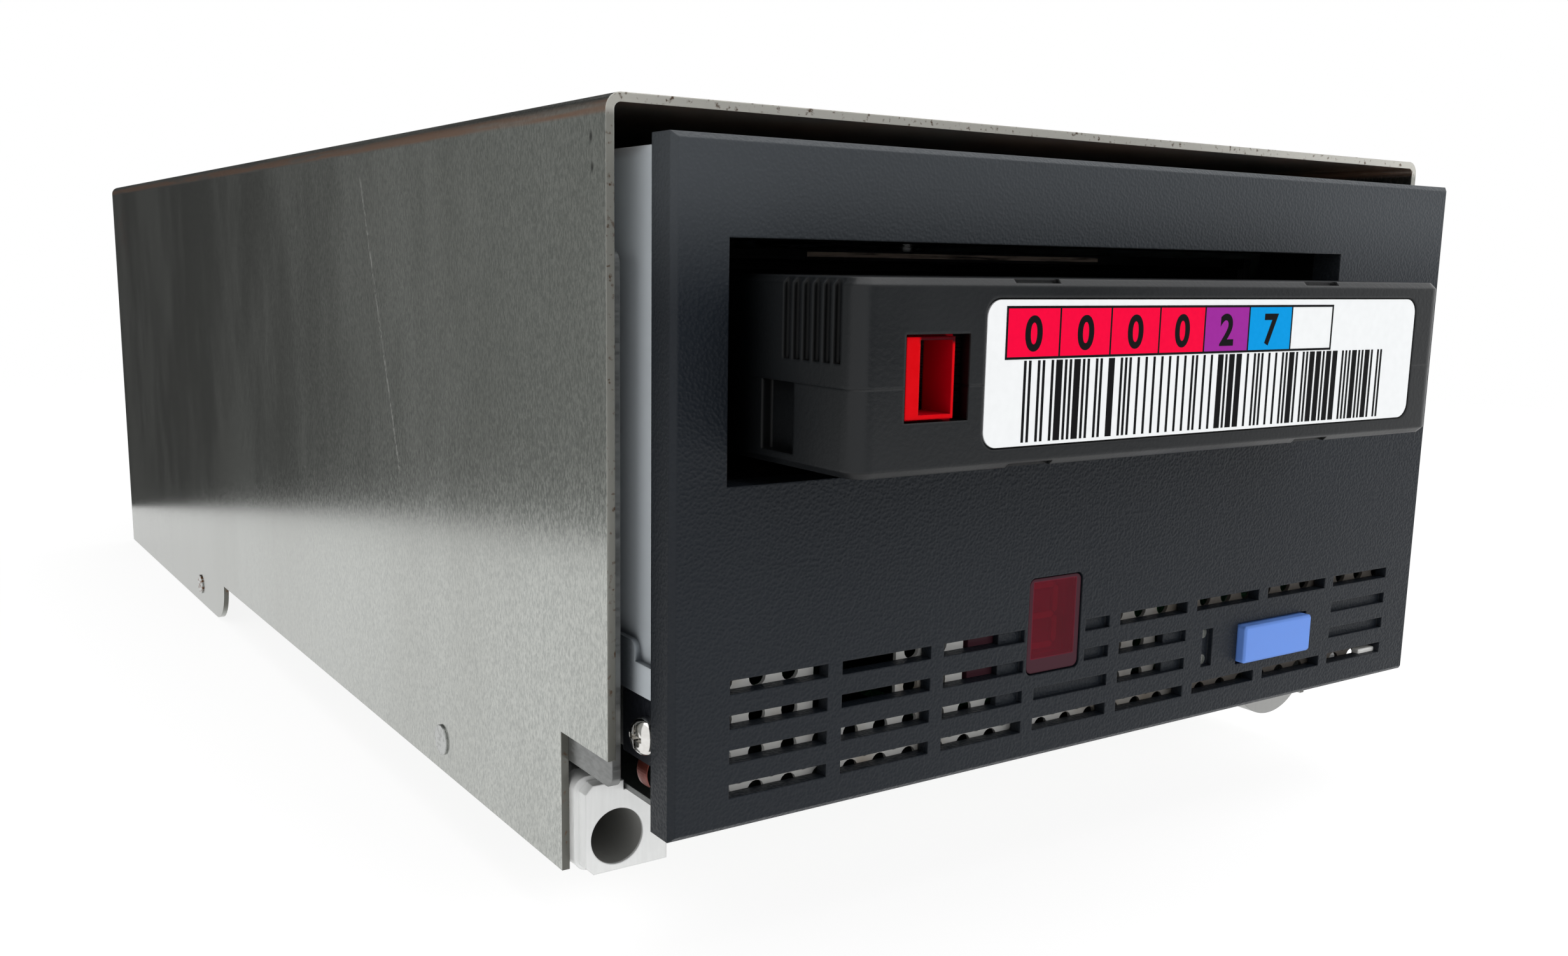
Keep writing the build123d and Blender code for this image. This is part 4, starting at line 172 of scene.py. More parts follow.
board_mask, shader, place = new_finish("green solder mask", Coat_Weight=0.3)
tracks = ramp(board_mask, cells(board_mask, place, 420, "DISTANCE_TO_EDGE"), 0.03, 0.07)
weave = clouds(board_mask, place, 3000, 2)
wire(
    board_mask,
    shader,
    Base_Color=tint(board_mask, tracks, screen(52, 112, 66), screen(22, 74, 42)),
    Roughness=vary(board_mask, weave, 0.28, 0.45),
    Normal=relief(board_mask, tracks, 0.00005, 0.4, 0.0002),
)
dress(board_mask, "main_board", "front_board", "interface_board")

# ---------------------------------------------------------------- turned steel
# Posts, rollers, motor cans, the leader pin and the threader arm are ground or turned steel,
# pressed or screwed in place. The grinding leaves fine rings round them.


def follow(finish, shader, grain, colours, roughness, bump):
    """Lets the colour, the roughness and the bump of a finish follow one grain."""
    wire(
        finish,
        shader,
        Base_Color=tint(finish, grain, *colours),
        Roughness=vary(finish, grain, *roughness),
        Normal=relief(finish, grain, *bump),
    )


turned_steel, shader, place = new_finish("turned steel", Metallic=1.0)
follow(
    turned_steel,
    shader,
    grain=streaks(turned_steel, place, (60, 60, 5000), 2),
    colours=(screen(168, 169, 170), screen(205, 206, 206)),
    roughness=(0.18, 0.34),
    bump=(0.00004, 0.3, 0.0002),
)
dress(
    turned_steel, "roller_posts", "leader_pin", "threader_arm", "loader_motor", "reel_stators",
    "guide_roller_1", "guide_roller_2", "guide_roller_3", "guide_roller_4",
)

# ---------------------------------------------------------------- reels of the drive
# The clutch and the take-up reel are turned from aluminium bar and sit on the rotors of
# the reel motors below them.
turned_alloy, shader, place = new_finish("turned aluminium", Metallic=1.0)
follow(
    turned_alloy,
    shader,
    grain=streaks(turned_alloy, place, (200, 200, 4000), 2),
    colours=(screen(190, 191, 192), screen(222, 223, 223)),
    roughness=(0.22, 0.4),
    bump=(0.00005, 0.3, 0.0002),
)
dress(turned_alloy, "takeup_reel", "reel_clutch")

# ---------------------------------------------------------------- head
# The head is a block of black ceramic, lapped to a shine where the tape runs over it. It
# slides up and down on two rods in its cast mount.
lapped_ceramic, shader, place = new_finish("lapped ceramic")
follow(
    lapped_ceramic,
    shader,
    grain=streaks(lapped_ceramic, place, (3000, 200, 200), 2),
    colours=(screen(38, 36, 34), screen(58, 55, 50)),
    roughness=(0.12, 0.28),
    bump=(0.00003, 0.3, 0.0002),
)
dress(lapped_ceramic, "head_block")

# ---------------------------------------------------------------- loader
# Tray and slider are stamped from steel sheet and blackened, so that nothing glints in the
# slot. The cartridge has rubbed the slider's front bar and the tray's side bright.


def axis_of(finish, place, axis):
    """One coordinate of the place."""
    return put(finish, "SeparateXYZ", {0: place}).outputs[axis]


def sums(finish, operation, a, b=0.0):
    """Plain arithmetic of one value or two."""
    return put(finish, "Math", {0: a, 1: b}, operation=operation).outputs[0]


def both(finish, a, b):
    """1 where two shares are 1: their product."""
    return sums(finish, "MULTIPLY", a, b)


bezel_low, bezel_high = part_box("bezel")
bezel_middle = (bezel_low.x + bezel_high.x) / 2


def at(x, y, z):
    """A place in millimetres from the bezel's centre line, front face and lower edge."""
    return Vector((bezel_middle + x / 1000, bezel_low.y + y / 1000, bezel_low.z + z / 1000))


def inside(finish, place, low, high, soft):
    """1 between two corners of a block and 0 outside, with soft borders."""
    low, high = at(*low), at(*high)
    share = None
    for axis in range(3):
        value = axis_of(finish, place, axis)
        entered = ramp(finish, value, low[axis] - soft, low[axis])
        left = ramp(finish, value, high[axis], high[axis] + soft, 1.0, 0.0)
        between = both(finish, entered, left)
        share = between if share is None else both(finish, share, between)
    return share


BAR_RUBBED = ((-41.9, 19.0, 69.75), (13.4, 20.1, 70.3))
TRAY_RUBBED = ((-52.4, 15.0, 43.5), (-50.8, 16.4, 53.4))
black_oxide, shader, place = new_finish("blackened steel", Metallic=0.6, Specular_IOR_Level=0.2)
rolled = streaks(black_oxide, place, (150, 900, 2400), 4)
rubbed = sums(
    black_oxide, "ADD",
    inside(black_oxide, place, *BAR_RUBBED, 0.0001),
    inside(black_oxide, place, *TRAY_RUBBED, 0.0002),
)
wear = both(black_oxide, rubbed, ramp(black_oxide, rolled, 0.2, 0.6))
blackened = tint(black_oxide, rolled, screen(13, 13, 14), screen(30, 30, 31))
wire(
    black_oxide,
    shader,
    Base_Color=tint(black_oxide, wear, blackened, screen(176, 160, 146)),
    Roughness=vary(black_oxide, rolled, 0.42, 0.6),
    Normal=relief(black_oxide, rolled, 0.00005, 0.3, 0.0002),
)
dress(black_oxide, "cartridge_tray", "loader_slider")

# ---------------------------------------------------------------- white acetal parts
# The loader's gears, the cartridge's reel and the board standoffs are moulded in natural
# acetal or nylon: milky white, and slippery enough to run without grease.
white_acetal, shader, place = new_finish("natural acetal", Subsurface_Weight=0.1)
follow(
    white_acetal,
    shader,
    grain=clouds(white_acetal, place, 700, 3),
    colours=(screen(214, 211, 200), screen(232, 230, 222)),
    roughness=(0.32, 0.5),
    bump=(0.00006, 0.3, 0.0002),
)
dress(white_acetal, "cartridge_reel", "loader_gear", "motor_pinion", "board_standoffs")

# ---------------------------------------------------------------- black mouldings
# The slot's throat, the loader's rails, the fan, the switch and the connectors are plain
# black mouldings, snapped or screwed in, with a matt skin that keeps the slot dark.
black_moulding, shader, place = new_finish("black moulding", Specular_IOR_Level=0.1)
follow(
    black_moulding,
    shader,
    grain=clouds(black_moulding, place, 1400, 3),
    colours=(screen(8, 8, 9), screen(16, 17, 18)),
    roughness=(0.45, 0.65),
    bump=(0.00008, 0.4, 0.0002),
)
dress(
    black_moulding, "slot_throat", "fan_frame", "fan_rotor", "power_connector", "rear_connector",
    "eject_switch", "left_loader_rail", "right_loader_rail",
)

# ---------------------------------------------------------------- rails and bottom plate
# Rolled steel strips with thin zinc plate, screwed along the drive's sides and below it. The
# host port cages are folded from the same strip. The plating is coloured a darker grey as
# painted shade of the recess that the rails lie in.
zinc_plate, shader, place = new_finish("bright zinc plate", Metallic=0.8)
rolled = streaks(zinc_plate, place, (150, 900, 2400), 4)
haze = clouds(zinc_plate, place, 60, 3)
wire(
    zinc_plate,
    shader,
    Base_Color=tint(zinc_plate, haze, screen(112, 113, 112), screen(142, 144, 143)),
    Roughness=vary(zinc_plate, rolled, 0.28, 0.48),
    Normal=relief(zinc_plate, rolled, 0.00005, 0.3, 0.0002),
)
dress(zinc_plate, "left_inner_rail", "right_inner_rail", "host_port_cages", "bottom_plate")

# ---------------------------------------------------------------- drive cover
# The lid over the mechanism is pressed from thin pre-galvanised sheet. Its left side shows as
# a pale blue-grey band between the sled's wall and the bezel.


def openness_for_painted_shade(finish, reach):
    """1 in the open, falling to 0 in narrow and deep places, where painted shade darkens a colour.
    """
    open_share = put(finish, "AmbientOcclusion", {"Distance": reach}, samples=8).outputs["AO"]
    return ramp(finish, open_share, 0.4, 0.95)


cover_sheet, shader, place = new_finish("pale cover sheet", Metallic=0.1)
sheet_grain = streaks(cover_sheet, place, (600, 600, 1500), 4)
sheet_stain = clouds(cover_sheet, place, 35, 3)
cover_colour = tint(cover_sheet, sheet_stain, screen(212, 220, 226), screen(226, 232, 237))
wire(
    cover_sheet,
    shader,
    # painted shade: narrow and deep places of the sheet turn dark blue-grey
    Base_Color=tint(cover_sheet, openness_for_painted_shade(cover_sheet, 0.003), screen(84, 90, 96), cover_colour),
    Roughness=vary(cover_sheet, sheet_grain, 0.42, 0.6),
    Normal=relief(cover_sheet, sheet_grain, 0.00005, 0.3, 0.0003),
)
dress(cover_sheet, "drive_cover")

# ---------------------------------------------------------------- perforated screen
# A plate of thin perforated steel lies close behind the bezel's vents and keeps the drive's
# noise in. Its holes are punched in staggered rows. Two folded ears take the side screws;
# they are coloured dark blue-grey as painted shade.
SCREEN_SIDE, SCREEN_LOW, SCREEN_HIGH = 72.2, 1.9, 20.975
SCREEN_FRONT, SCREEN_THICK, SCREEN_MARGIN = 2.3, 0.6, 1.5
HOLE_RADIUS, HOLE_PITCH, HOLE_LAND, FIRST_ROW = 1.25, 4.9, 0.4, 3.6
WINDOW_LEFT, WINDOW_RIGHT, WINDOW_LOW = -26.9, -5.4, 10.9
TAIL_RIGHT, TAIL_HIGH = -18.5, 20.8
WINDOW_CUT = (WINDOW_LEFT, WINDOW_RIGHT, WINDOW_LOW, SCREEN_HIGH)
AIR_CUT = (-52.0, -38.6, 11.6, 20.2)
BUTTON_CUT = (26.4, 47.1, 5.7, 15.9)
LAMP_CUT = (19.95, 22.35, 8.2, 14.2)
EAR_SIDE, EAR_LOW, EAR_HIGH, EAR_BACK = 73.0, 7.5, 16.4, 14.1
EAR_SCREW, EAR_SCREW_RADIUS = (7.4, 11.4), 1.7
RIGHT_SHADE_FROM, RIGHT_SHADE_TO = -20, 30


def ring(centre, radius, steps=16):
    """The points of a round hole."""
    turns = [2 * math.pi * i / steps for i in range(steps)]
    return [(centre[0] + radius * math.cos(a), centre[1] + radius * math.sin(a)) for a in turns]


def oblong(left, right, low, high):
    """The four corners of an upright rectangle."""
    return [(left, low), (right, low), (right, high), (left, high)]


def show(name, data):
    """A new object in the scene."""
    piece = bpy.data.objects.new(name, data)
    bpy.context.scene.collection.objects.link(piece)
    return piece


def from_curve(name, drawn, finish):
    """A piece from a drawn curve, its millimetres turned into metres."""
    carrier = show(name + "_drawn", drawn)
    bpy.context.view_layer.update()
    mesh = bpy.data.meshes.new_from_object(carrier)
    bpy.data.objects.remove(carrier)
    mesh.name = name
    mesh.materials.clear()
    mesh.materials.append(finish)
    mesh.transform(Matrix.Scale(0.001, 4))
    return show(name, mesh)


def cut_sheet(name, outlines, thick, finish):
    """A flat sheet cut to outlines in millimetres; an outline inside another is a hole."""
    drawn = bpy.data.curves.new(name, "CURVE")
    drawn.dimensions = "2D"
    drawn.fill_mode = "BOTH"
    drawn.extrude = thick / 2
    for outline in outlines:
        spline = drawn.splines.new("POLY")
        spline.points.add(len(outline) - 1)
        for point, (u, v) in zip(spline.points, outline):
            point.co = (u, v, 0, 1)
        spline.use_cyclic_u = True
    return from_curve(name, drawn, finish)


def stand_up(piece, place, turn=0.0):
    """Turns a flat sheet to face the front, or a side, with its drawn zero at a place."""
    upright = Matrix.Rotation(turn, 4, "Z") @ Matrix.Rotation(math.pi / 2, 4, "X")
    piece.data.transform(Matrix.Translation(place) @ upright)


def punched_holes(cuts):
    """Round holes in staggered rows over the plate, none of them close to a cut."""
    clear = HOLE_RADIUS + HOLE_LAND
    holes = []
    row, v = 0, FIRST_ROW
    while v < SCREEN_HIGH - SCREEN_MARGIN:
        u = -SCREEN_SIDE + SCREEN_MARGIN + HOLE_LAND + (HOLE_PITCH / 2 if row % 2 else 0.0)
        while u < SCREEN_SIDE - SCREEN_MARGIN:
            if not any(
                left - clear < u < right + clear and low - clear < v < high + clear
                for left, right, low, high in cuts
            ):
                holes.append(ring((u, v), HOLE_RADIUS))
            u += HOLE_PITCH
        row += 1
        v += HOLE_PITCH / 2
    return holes


punched_steel, shader, place = new_finish("punched screen steel", Metallic=0.2)
dust = ramp(punched_steel, clouds(punched_steel, place, 120, 4), 0.45, 0.75)
speck = clouds(punched_steel, place, 1500, 2)
plate_colour = tint(punched_steel, dust, screen(230, 230, 227), screen(198, 188, 174))
across = axis_of(punched_steel, place, 0)
# painted shade: the plate darkens to brown-grey towards its right
painted_right_shade = ramp(punched_steel, across, at(RIGHT_SHADE_FROM, 0, 0).x, at(RIGHT_SHADE_TO, 0, 0).x, 0.0, 0.92)
plate_colour = tint(punched_steel, painted_right_shade, plate_colour, screen(84, 76, 68))
plate_end = at(SCREEN_SIDE, 0, 0).x
# painted shade: the ears beyond the plate's ends are coloured dark blue-grey
on_ear = ramp(punched_steel, sums(punched_steel, "ABSOLUTE", across), plate_end - 0.0001, plate_end)
wire(
    punched_steel,
    shader,
    Base_Color=tint(punched_steel, on_ear, plate_colour, screen(30, 33, 40)),
    Roughness=vary(punched_steel, speck, 0.42, 0.6),
    Normal=relief(punched_steel, speck, 0.00004, 0.3),
)

screen_outline = [
    (-SCREEN_SIDE, SCREEN_LOW), (SCREEN_SIDE, SCREEN_LOW), (SCREEN_SIDE, EAR_LOW),
    (EAR_SIDE, EAR_LOW), (EAR_SIDE, EAR_HIGH), (SCREEN_SIDE, EAR_HIGH), (SCREEN_SIDE, SCREEN_HIGH),
    (WINDOW_RIGHT, SCREEN_HIGH), (WINDOW_RIGHT, WINDOW_LOW), (WINDOW_LEFT, WINDOW_LOW),
    (WINDOW_LEFT, TAIL_HIGH), (TAIL_RIGHT, TAIL_HIGH), (TAIL_RIGHT, SCREEN_HIGH),
    (-SCREEN_SIDE, SCREEN_HIGH), (-SCREEN_SIDE, EAR_HIGH), (-EAR_SIDE, EAR_HIGH),
    (-EAR_SIDE, EAR_LOW), (-SCREEN_SIDE, EAR_LOW),
]
screen_cuts = [oblong(*cut) for cut in (AIR_CUT, BUTTON_CUT, LAMP_CUT)]
screen_holes = punched_holes((AIR_CUT, BUTTON_CUT, LAMP_CUT, WINDOW_CUT))
perforated_screen = cut_sheet(
    "perforated_screen", [screen_outline] + screen_cuts + screen_holes, SCREEN_THICK, punched_steel
)
stand_up(perforated_screen, at(0, SCREEN_FRONT + SCREEN_THICK / 2, 0))
ear_thick = EAR_SIDE - SCREEN_SIDE
ear_outlines = [
    oblong(SCREEN_FRONT, EAR_BACK, EAR_LOW, EAR_HIGH),
    ring(EAR_SCREW, EAR_SCREW_RADIUS, 24),
]
folded = bmesh.new()
folded.from_mesh(perforated_screen.data)
for side in (-1, 1):
    ear = cut_sheet("screen_ear", ear_outlines, ear_thick, punched_steel)
    stand_up(ear, at(side * (EAR_SIDE - ear_thick / 2), 0, 0), math.pi / 2)
    folded.from_mesh(ear.data)
    bpy.data.objects.remove(ear)
folded.to_mesh(perforated_screen.data)
folded.free()
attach(perforated_screen, "sled_and_drive")
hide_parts("vent_grille")

# ---------------------------------------------------------------- painted light in the vent
# A small white block sits behind the lowest vent at the right as painted light, where light
# shows through the vent.
LIGHT_PATCH_LOW, LIGHT_PATCH_HIGH, LIGHT_PATCH_EDGE = (62.2, 1.0, 3.6), (67.4, SCREEN_FRONT + 0.1, 4.9), 0.00025
light_patch_white, shader, place = new_finish("white painted light patch")
follow(
    light_patch_white,
    shader,
    grain=clouds(light_patch_white, place, 1600, 2),
    colours=(screen(236, 236, 232), screen(250, 250, 248)),
    roughness=(0.38, 0.55),
    bump=(0.00004, 0.3),
)
# painted light: a white block where light shows through the vent
light_patch_low, light_patch_high = at(*LIGHT_PATCH_LOW), at(*LIGHT_PATCH_HIGH)
light_patch_block = bmesh.new()
bmesh.ops.create_cube(light_patch_block, size=1.0)
for vertex in light_patch_block.verts:
    share = vertex.co + Vector((0.5, 0.5, 0.5))
    vertex.co = [light_patch_low[i] + share[i] * (light_patch_high[i] - light_patch_low[i]) for i in range(3)]
bmesh.ops.bevel(
    light_patch_block, geom=light_patch_block.edges[:], offset=LIGHT_PATCH_EDGE, segments=3, profile=0.5, affect="EDGES"
)
light_patch_mesh = bpy.data.meshes.new("vent_light_patch")
light_patch_block.to_mesh(light_patch_mesh)
light_patch_block.free()
light_patch_mesh.materials.append(light_patch_white)
vent_light_patch = show("vent_light_patch", light_patch_mesh)
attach(vent_light_patch, "sled_and_drive")

# ---------------------------------------------------------------- bezel
# The front moulding is charcoal ABS with a fine leather grain etched into the tool. It snaps
# over the drive's front and carries the slot, the vents, the display and the button. Its
# upper edge is coloured lighter as painted light from above.
TOP_LIGHT_FROM, TOP_LIGHT_TO = 62, 80
charcoal, shader, place = new_finish("grained charcoal moulding", Specular_IOR_Level=0.24)
pebble = ramp(charcoal, cells(charcoal, place, 2500, "SMOOTH_F1"), 0.1, 0.75)
crease = clouds(charcoal, place, 3600, 2)
leather = sums(charcoal, "ADD", pebble, sums(charcoal, "MULTIPLY", crease, 0.6))
patch = clouds(charcoal, place, 28, 2)
height = axis_of(charcoal, place, 2)
# painted light: the moulding turns lighter grey towards its upper edge
painted_top_light = ramp(charcoal, height, at(0, 0, TOP_LIGHT_FROM).z, at(0, 0, TOP_LIGHT_TO).z, 0.0, 0.9)
bezel_colour = tint(charcoal, patch, screen(19, 24, 31), screen(27, 32, 38))
wire(
    charcoal,
    shader,
    Base_Color=tint(charcoal, painted_top_light, bezel_colour, screen(66, 70, 74)),
    Roughness=ramp(charcoal, leather, 0.3, 1.2, 0.54, 0.42),
    Normal=relief(charcoal, leather, 0.0001, 0.4, 0.0003),
)
dress(charcoal, "bezel")

# ---------------------------------------------------------------- display window
# A smoked dark red acrylic window lies flush in the bezel's pocket. It is clear in front of
# the digit, and its rim and the flange behind the bezel are frosted.
PANE_LOW, PANE_HIGH = (-15.9, -5.0, 14.8), (-8.1, 20.0, 25.4)
red_acrylic, shader, place = new_finish("smoked red acrylic", IOR=1.2, Specular_IOR_Level=0.2)
smear = clouds(red_acrylic, place, 180, 3)
pane_clear = inside(red_acrylic, place, PANE_LOW, PANE_HIGH, 0.0004)
smoked = tint(red_acrylic, smear, screen(120, 2, 34), screen(170, 8, 54))
wire(
    red_acrylic,
    shader,
    Base_Color=tint(red_acrylic, pane_clear, screen(70, 42, 50), smoked),
    Transmission_Weight=ramp(red_acrylic, pane_clear, 0.0, 1.0, 0.0, 0.75),
    Roughness=vary(red_acrylic, smear, 0.12, 0.26),
    Normal=relief(red_acrylic, smear, 0.00003, 0.2, 0.0003),
)
dress(red_acrylic, "display_window")

# ---------------------------------------------------------------- display module
# The module behind the window is a dark moulding soldered to the front board. Its digit has
# seven segments of milky resin, pale while they are unlit.
module_black, shader, place = new_finish("display module")
follow(
    module_black,
    shader,
    grain=clouds(module_black, place, 1500, 2),
    colours=(screen(60, 14, 22), screen(84, 24, 32)),
    roughness=(0.35, 0.55),
    bump=(0.00004, 0.3),
)
dress(module_black, "display_digit")

SEGMENT_WIDE, SEGMENT_PLAY, SEGMENT_THICK = 0.9, 0.18, 0.2
DIGIT_LEFT, DIGIT_RIGHT, DIGIT_LOW, DIGIT_HIGH = -14.6, -9.6, 15.6, 24.4
SEGMENT_ENDS = ((0, 1), (2, 3), (4, 5), (0, 2), (1, 3), (2, 4), (3, 5))
segment_resin, shader, place = new_finish("unlit segment resin")
follow(
    segment_resin,
    shader,
    grain=clouds(segment_resin, place, 1200, 2),
    colours=(screen(240, 190, 190), screen(250, 214, 214)),
    roughness=(0.4, 0.6),
    bump=(0.00003, 0.2),
)


def segment(start, end):
    """A bar with pointed ends between two corners of the digit."""
    (u, v), (p, q) = start, end
    length = math.hypot(p - u, q - v)
    along = ((p - u) / length, (q - v) / length)
    half = SEGMENT_WIDE / 2
    tip, far_tip = SEGMENT_PLAY, length - SEGMENT_PLAY
    corners = (
        (tip, 0), (tip + half, half), (far_tip - half, half),
        (far_tip, 0), (far_tip - half, -half), (tip + half, -half),
    )
    return [
        (u + along[0] * reach - along[1] * aside, v + along[1] * reach + along[0] * aside)
        for reach, aside in corners
    ]


digit_levels = (DIGIT_LOW, (DIGIT_LOW + DIGIT_HIGH) / 2, DIGIT_HIGH)
digit_corners = [(u, v) for v in digit_levels for u in (DIGIT_LEFT, DIGIT_RIGHT)]
segments = cut_sheet(
    "display_segments",
    [segment(digit_corners[a], digit_corners[b]) for a, b in SEGMENT_ENDS],
    SEGMENT_THICK,
    segment_resin,
)
stand_up(segments, Vector((bezel_middle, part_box("display_digit")[0].y, bezel_low.z)))
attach(segments, "sled_and_drive")

# ---------------------------------------------------------------- lamps
# Two light pipes of clear acrylic lead the light of lamps on the front board to the ends of
# the upright slit. They look grey while the lamps are off.
clear_pipe, shader, place = new_finish("clear light pipe", Transmission_Weight=0.6)
follow(
    clear_pipe,
    shader,
    grain=clouds(clear_pipe, place, 800, 2),
    colours=(screen(120, 124, 120), screen(160, 164, 160)),
    roughness=(0.1, 0.25),
    bump=(0.00003, 0.2),
)
dress(clear_pipe, "led_pipes")

# ---------------------------------------------------------------- eject button
# A periwinkle blue button moulded in satin ABS. It slides in its opening against a spring and
# presses the switch on the front board.
button_satin, shader, place = new_finish("blue button moulding", Specular_IOR_Level=0.25)
follow(
    button_satin,
    shader,
    grain=clouds(button_satin, place, 300, 4),
    colours=(screen(98, 140, 222), screen(108, 150, 230)),
    roughness=(0.36, 0.54),
    bump=(0.00006, 0.3, 0.0004),
)
dress(button_satin, "eject_button")

# ---------------------------------------------------------------- screws
# The drive's front screws and the side screws of the mounting rails are nickel-plated steel
# with domed heads and a cross recess.
bright_screw, shader, place = new_finish("nickel plate", Metallic=1.0)
scuff = clouds(bright_screw, place, 1800, 3)
wire(
    bright_screw,
    shader,
    Base_Color=tint(bright_screw, scuff, screen(206, 204, 200), screen(232, 231, 228)),
    Roughness=ramp(bright_screw, scuff, 0.35, 0.75, 0.06, 0.22),
    Normal=relief(bright_screw, scuff, 0.00003, 0.25, 0.0001),
)
dress(bright_screw, "frame_screws", "side_mount_screws")

# ---------------------------------------------------------------- rivets
# The sled's rivets are plain steel, pressed through wall and pan, with heads that stand
# slightly proud. The rear ones on the foot tabs have rusted a little.
RUST_FROM, RUST_TO = -0.02, 0.04
rivet_steel, shader, place = new_finish("plain rivet steel", Metallic=0.9)
rust = ramp(rivet_steel, clouds(rivet_steel, place, 1300, 4), 0.5, 0.62)
rearmost = ramp(rivet_steel, axis_of(rivet_steel, place, 1), RUST_FROM, RUST_TO)
tab_rust = both(rivet_steel, rust, rearmost)
wire(
    rivet_steel,
    shader,
    Base_Color=tint(rivet_steel, tab_rust, screen(178, 180, 178), screen(122, 84, 58)),
    Roughness=ramp(rivet_steel, rust, 0.0, 1.0, 0.25, 0.5),
    Normal=relief(rivet_steel, rust, 0.00004, 0.3, 0.0003),
)
dress(rivet_steel, "shell_rivets")

# ---------------------------------------------------------------- contact spring
# A strip of copper alloy bent over the drive's left side below the front screw. It presses on
# the sled's rail and earths the drive.
SPRING_THICK, SPRING_FRONT, SPRING_BACK = 0.00025, 8.0, 11.0
SPRING_LINE = ((0.02, 8.0), (-0.2, 7.4), (-0.75, 6.0), (-0.3, 4.5), (0.02, 4.0))
spring_copper, shader, place = new_finish("tarnished copper strip", Metallic=0.7)
follow(
    spring_copper,
    shader,
    grain=clouds(spring_copper, place, 900, 3),
    colours=(screen(128, 62, 50), screen(96, 48, 42)),
    roughness=(0.28, 0.5),
    bump=(0.00004, 0.3),
)
drive_side = (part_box("drive_base")[0].x - bezel_middle) * 1000
spring = bmesh.new()
front_row, back_row = [
    [spring.verts.new(at(drive_side + out, depth, up)) for out, up in SPRING_LINE]
    for depth in (SPRING_FRONT, SPRING_BACK)
]
for i in range(len(SPRING_LINE) - 1):
    spring.faces.new((front_row[i], front_row[i + 1], back_row[i + 1], back_row[i]))
spring_mesh = bpy.data.meshes.new("contact_spring")
spring.to_mesh(spring_mesh)
spring.free()
spring_mesh.materials.append(spring_copper)
contact_spring = show("contact_spring", spring_mesh)
gauge = contact_spring.modifiers.new("gauge", "SOLIDIFY")
gauge.thickness = SPRING_THICK
gauge.offset = 0
bend = contact_spring.modifiers.new("bend", "SUBSURF")
bend.levels = bend.render_levels = 2
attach(contact_spring, "sled_and_drive")

# ---------------------------------------------------------------- cartridge
# The cartridge is two halves of black polycarbonate, screwed together from below round one
# reel. Its skin is fine spark-erosion texture, polished in patches by handling.
cartridge_skin, shader, place = new_finish("black cartridge moulding", Specular_IOR_Level=0.24)
spark = clouds(cartridge_skin, place, 1700, 3)
handling = clouds(cartridge_skin, place, 45, 3)
skin_colour = tint(cartridge_skin, handling, screen(27, 29, 31), screen(33, 35, 37))
wire(
    cartridge_skin,
    shader,
    # painted shade: sheltered places of the shells turn near black
    Base_Color=tint(cartridge_skin, openness_for_painted_shade(cartridge_skin, 0.1), screen(1, 2, 3), skin_colour),
    Roughness=ramp(cartridge_skin, handling, 0.35, 0.65, 0.28, 0.4),
    Normal=relief(cartridge_skin, spark, 0.00008, 0.35, 0.0005),
)
dress(cartridge_skin, "cartridge_top_shell", "cartridge_bottom_shell", "cartridge_door")

# ---------------------------------------------------------------- wound tape
# Half-inch tape lies wound on the cartridge's reel. Its edges show as fine brown-black rings,
# one winding over the other.
tape_edge, shader, place = new_finish("wound tape")
follow(
    tape_edge,
    shader,
    grain=streaks(tape_edge, place, (300, 300, 6000), 2),
    colours=(screen(36, 28, 22), screen(52, 42, 34)),
    roughness=(0.22, 0.4),
    bump=(0.00003, 0.3),
)
dress(tape_edge, "tape_pack")

# ---------------------------------------------------------------- write-protect tab
# A bright red sliding tab in the window at the cartridge's front left. It is an open frame of
# polystyrene. Its thin rim over the hollow and its sheltered places are darkened as painted shade.
TAB_BAR_END, TAB_RIM_LOW, TAB_RIM_HIGH = 0.0031, 0.002, 0.0014
tab_moulding, shader, place = new_finish("red tab moulding", Specular_IOR_Level=0.06)
flow = clouds(tab_moulding, place, 600, 3)
tab_low, tab_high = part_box("write_protect_tab")
bar_end = tab_low.x + TAB_BAR_END
past_bar = ramp(tab_moulding, axis_of(tab_moulding, place, 0), bar_end - 0.0005, bar_end)
up_tab = axis_of(tab_moulding, place, 2)
near_top = ramp(tab_moulding, up_tab, tab_high.z - TAB_RIM_LOW, tab_high.z - TAB_RIM_HIGH)
tab_colour = tint(tab_moulding, flow, screen(208, 0, 8), screen(224, 0, 16))
# painted shade: the thin rim over the hollow turns dark red
tab_colour = tint(tab_moulding, both(tab_moulding, past_bar, near_top), tab_colour, screen(58, 0, 8))
wire(
    tab_moulding,
    shader,
    # painted shade: sheltered places turn a deeper red
    Base_Color=tint(tab_moulding, openness_for_painted_shade(tab_moulding, 0.009), screen(170, 0, 22), tab_colour),
    Roughness=vary(tab_moulding, flow, 0.3, 0.48),
    Normal=relief(tab_moulding, flow, 0.00005, 0.3, 0.0003),
)
dress(tab_moulding, "write_protect_tab")

# ---------------------------------------------------------------- cartridge label
# A white paper label with a satin film lies in the cartridge's front recess. Seven printed
# boxes, six of them with a digit, stand over a row of bars; all of it is ink on the paper.
label_paper, shader, place = new_finish("filmed label paper", Specular_IOR_Level=0.15)
follow(
    label_paper,
    shader,
    grain=clouds(label_paper, place, 900, 4),
    colours=(screen(238, 240, 241), screen(246, 248, 249)),
    roughness=(0.4, 0.52),
    bump=(0.00003, 0.25, 0.0001),
)
dress(label_paper, "cartridge_label")

INK_THICK, INK_STEP, DIGIT_STEP = 0.04, 0.4, 1.2
label_front = (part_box("cartridge_label")[0].y - bezel_low.y) * 1000


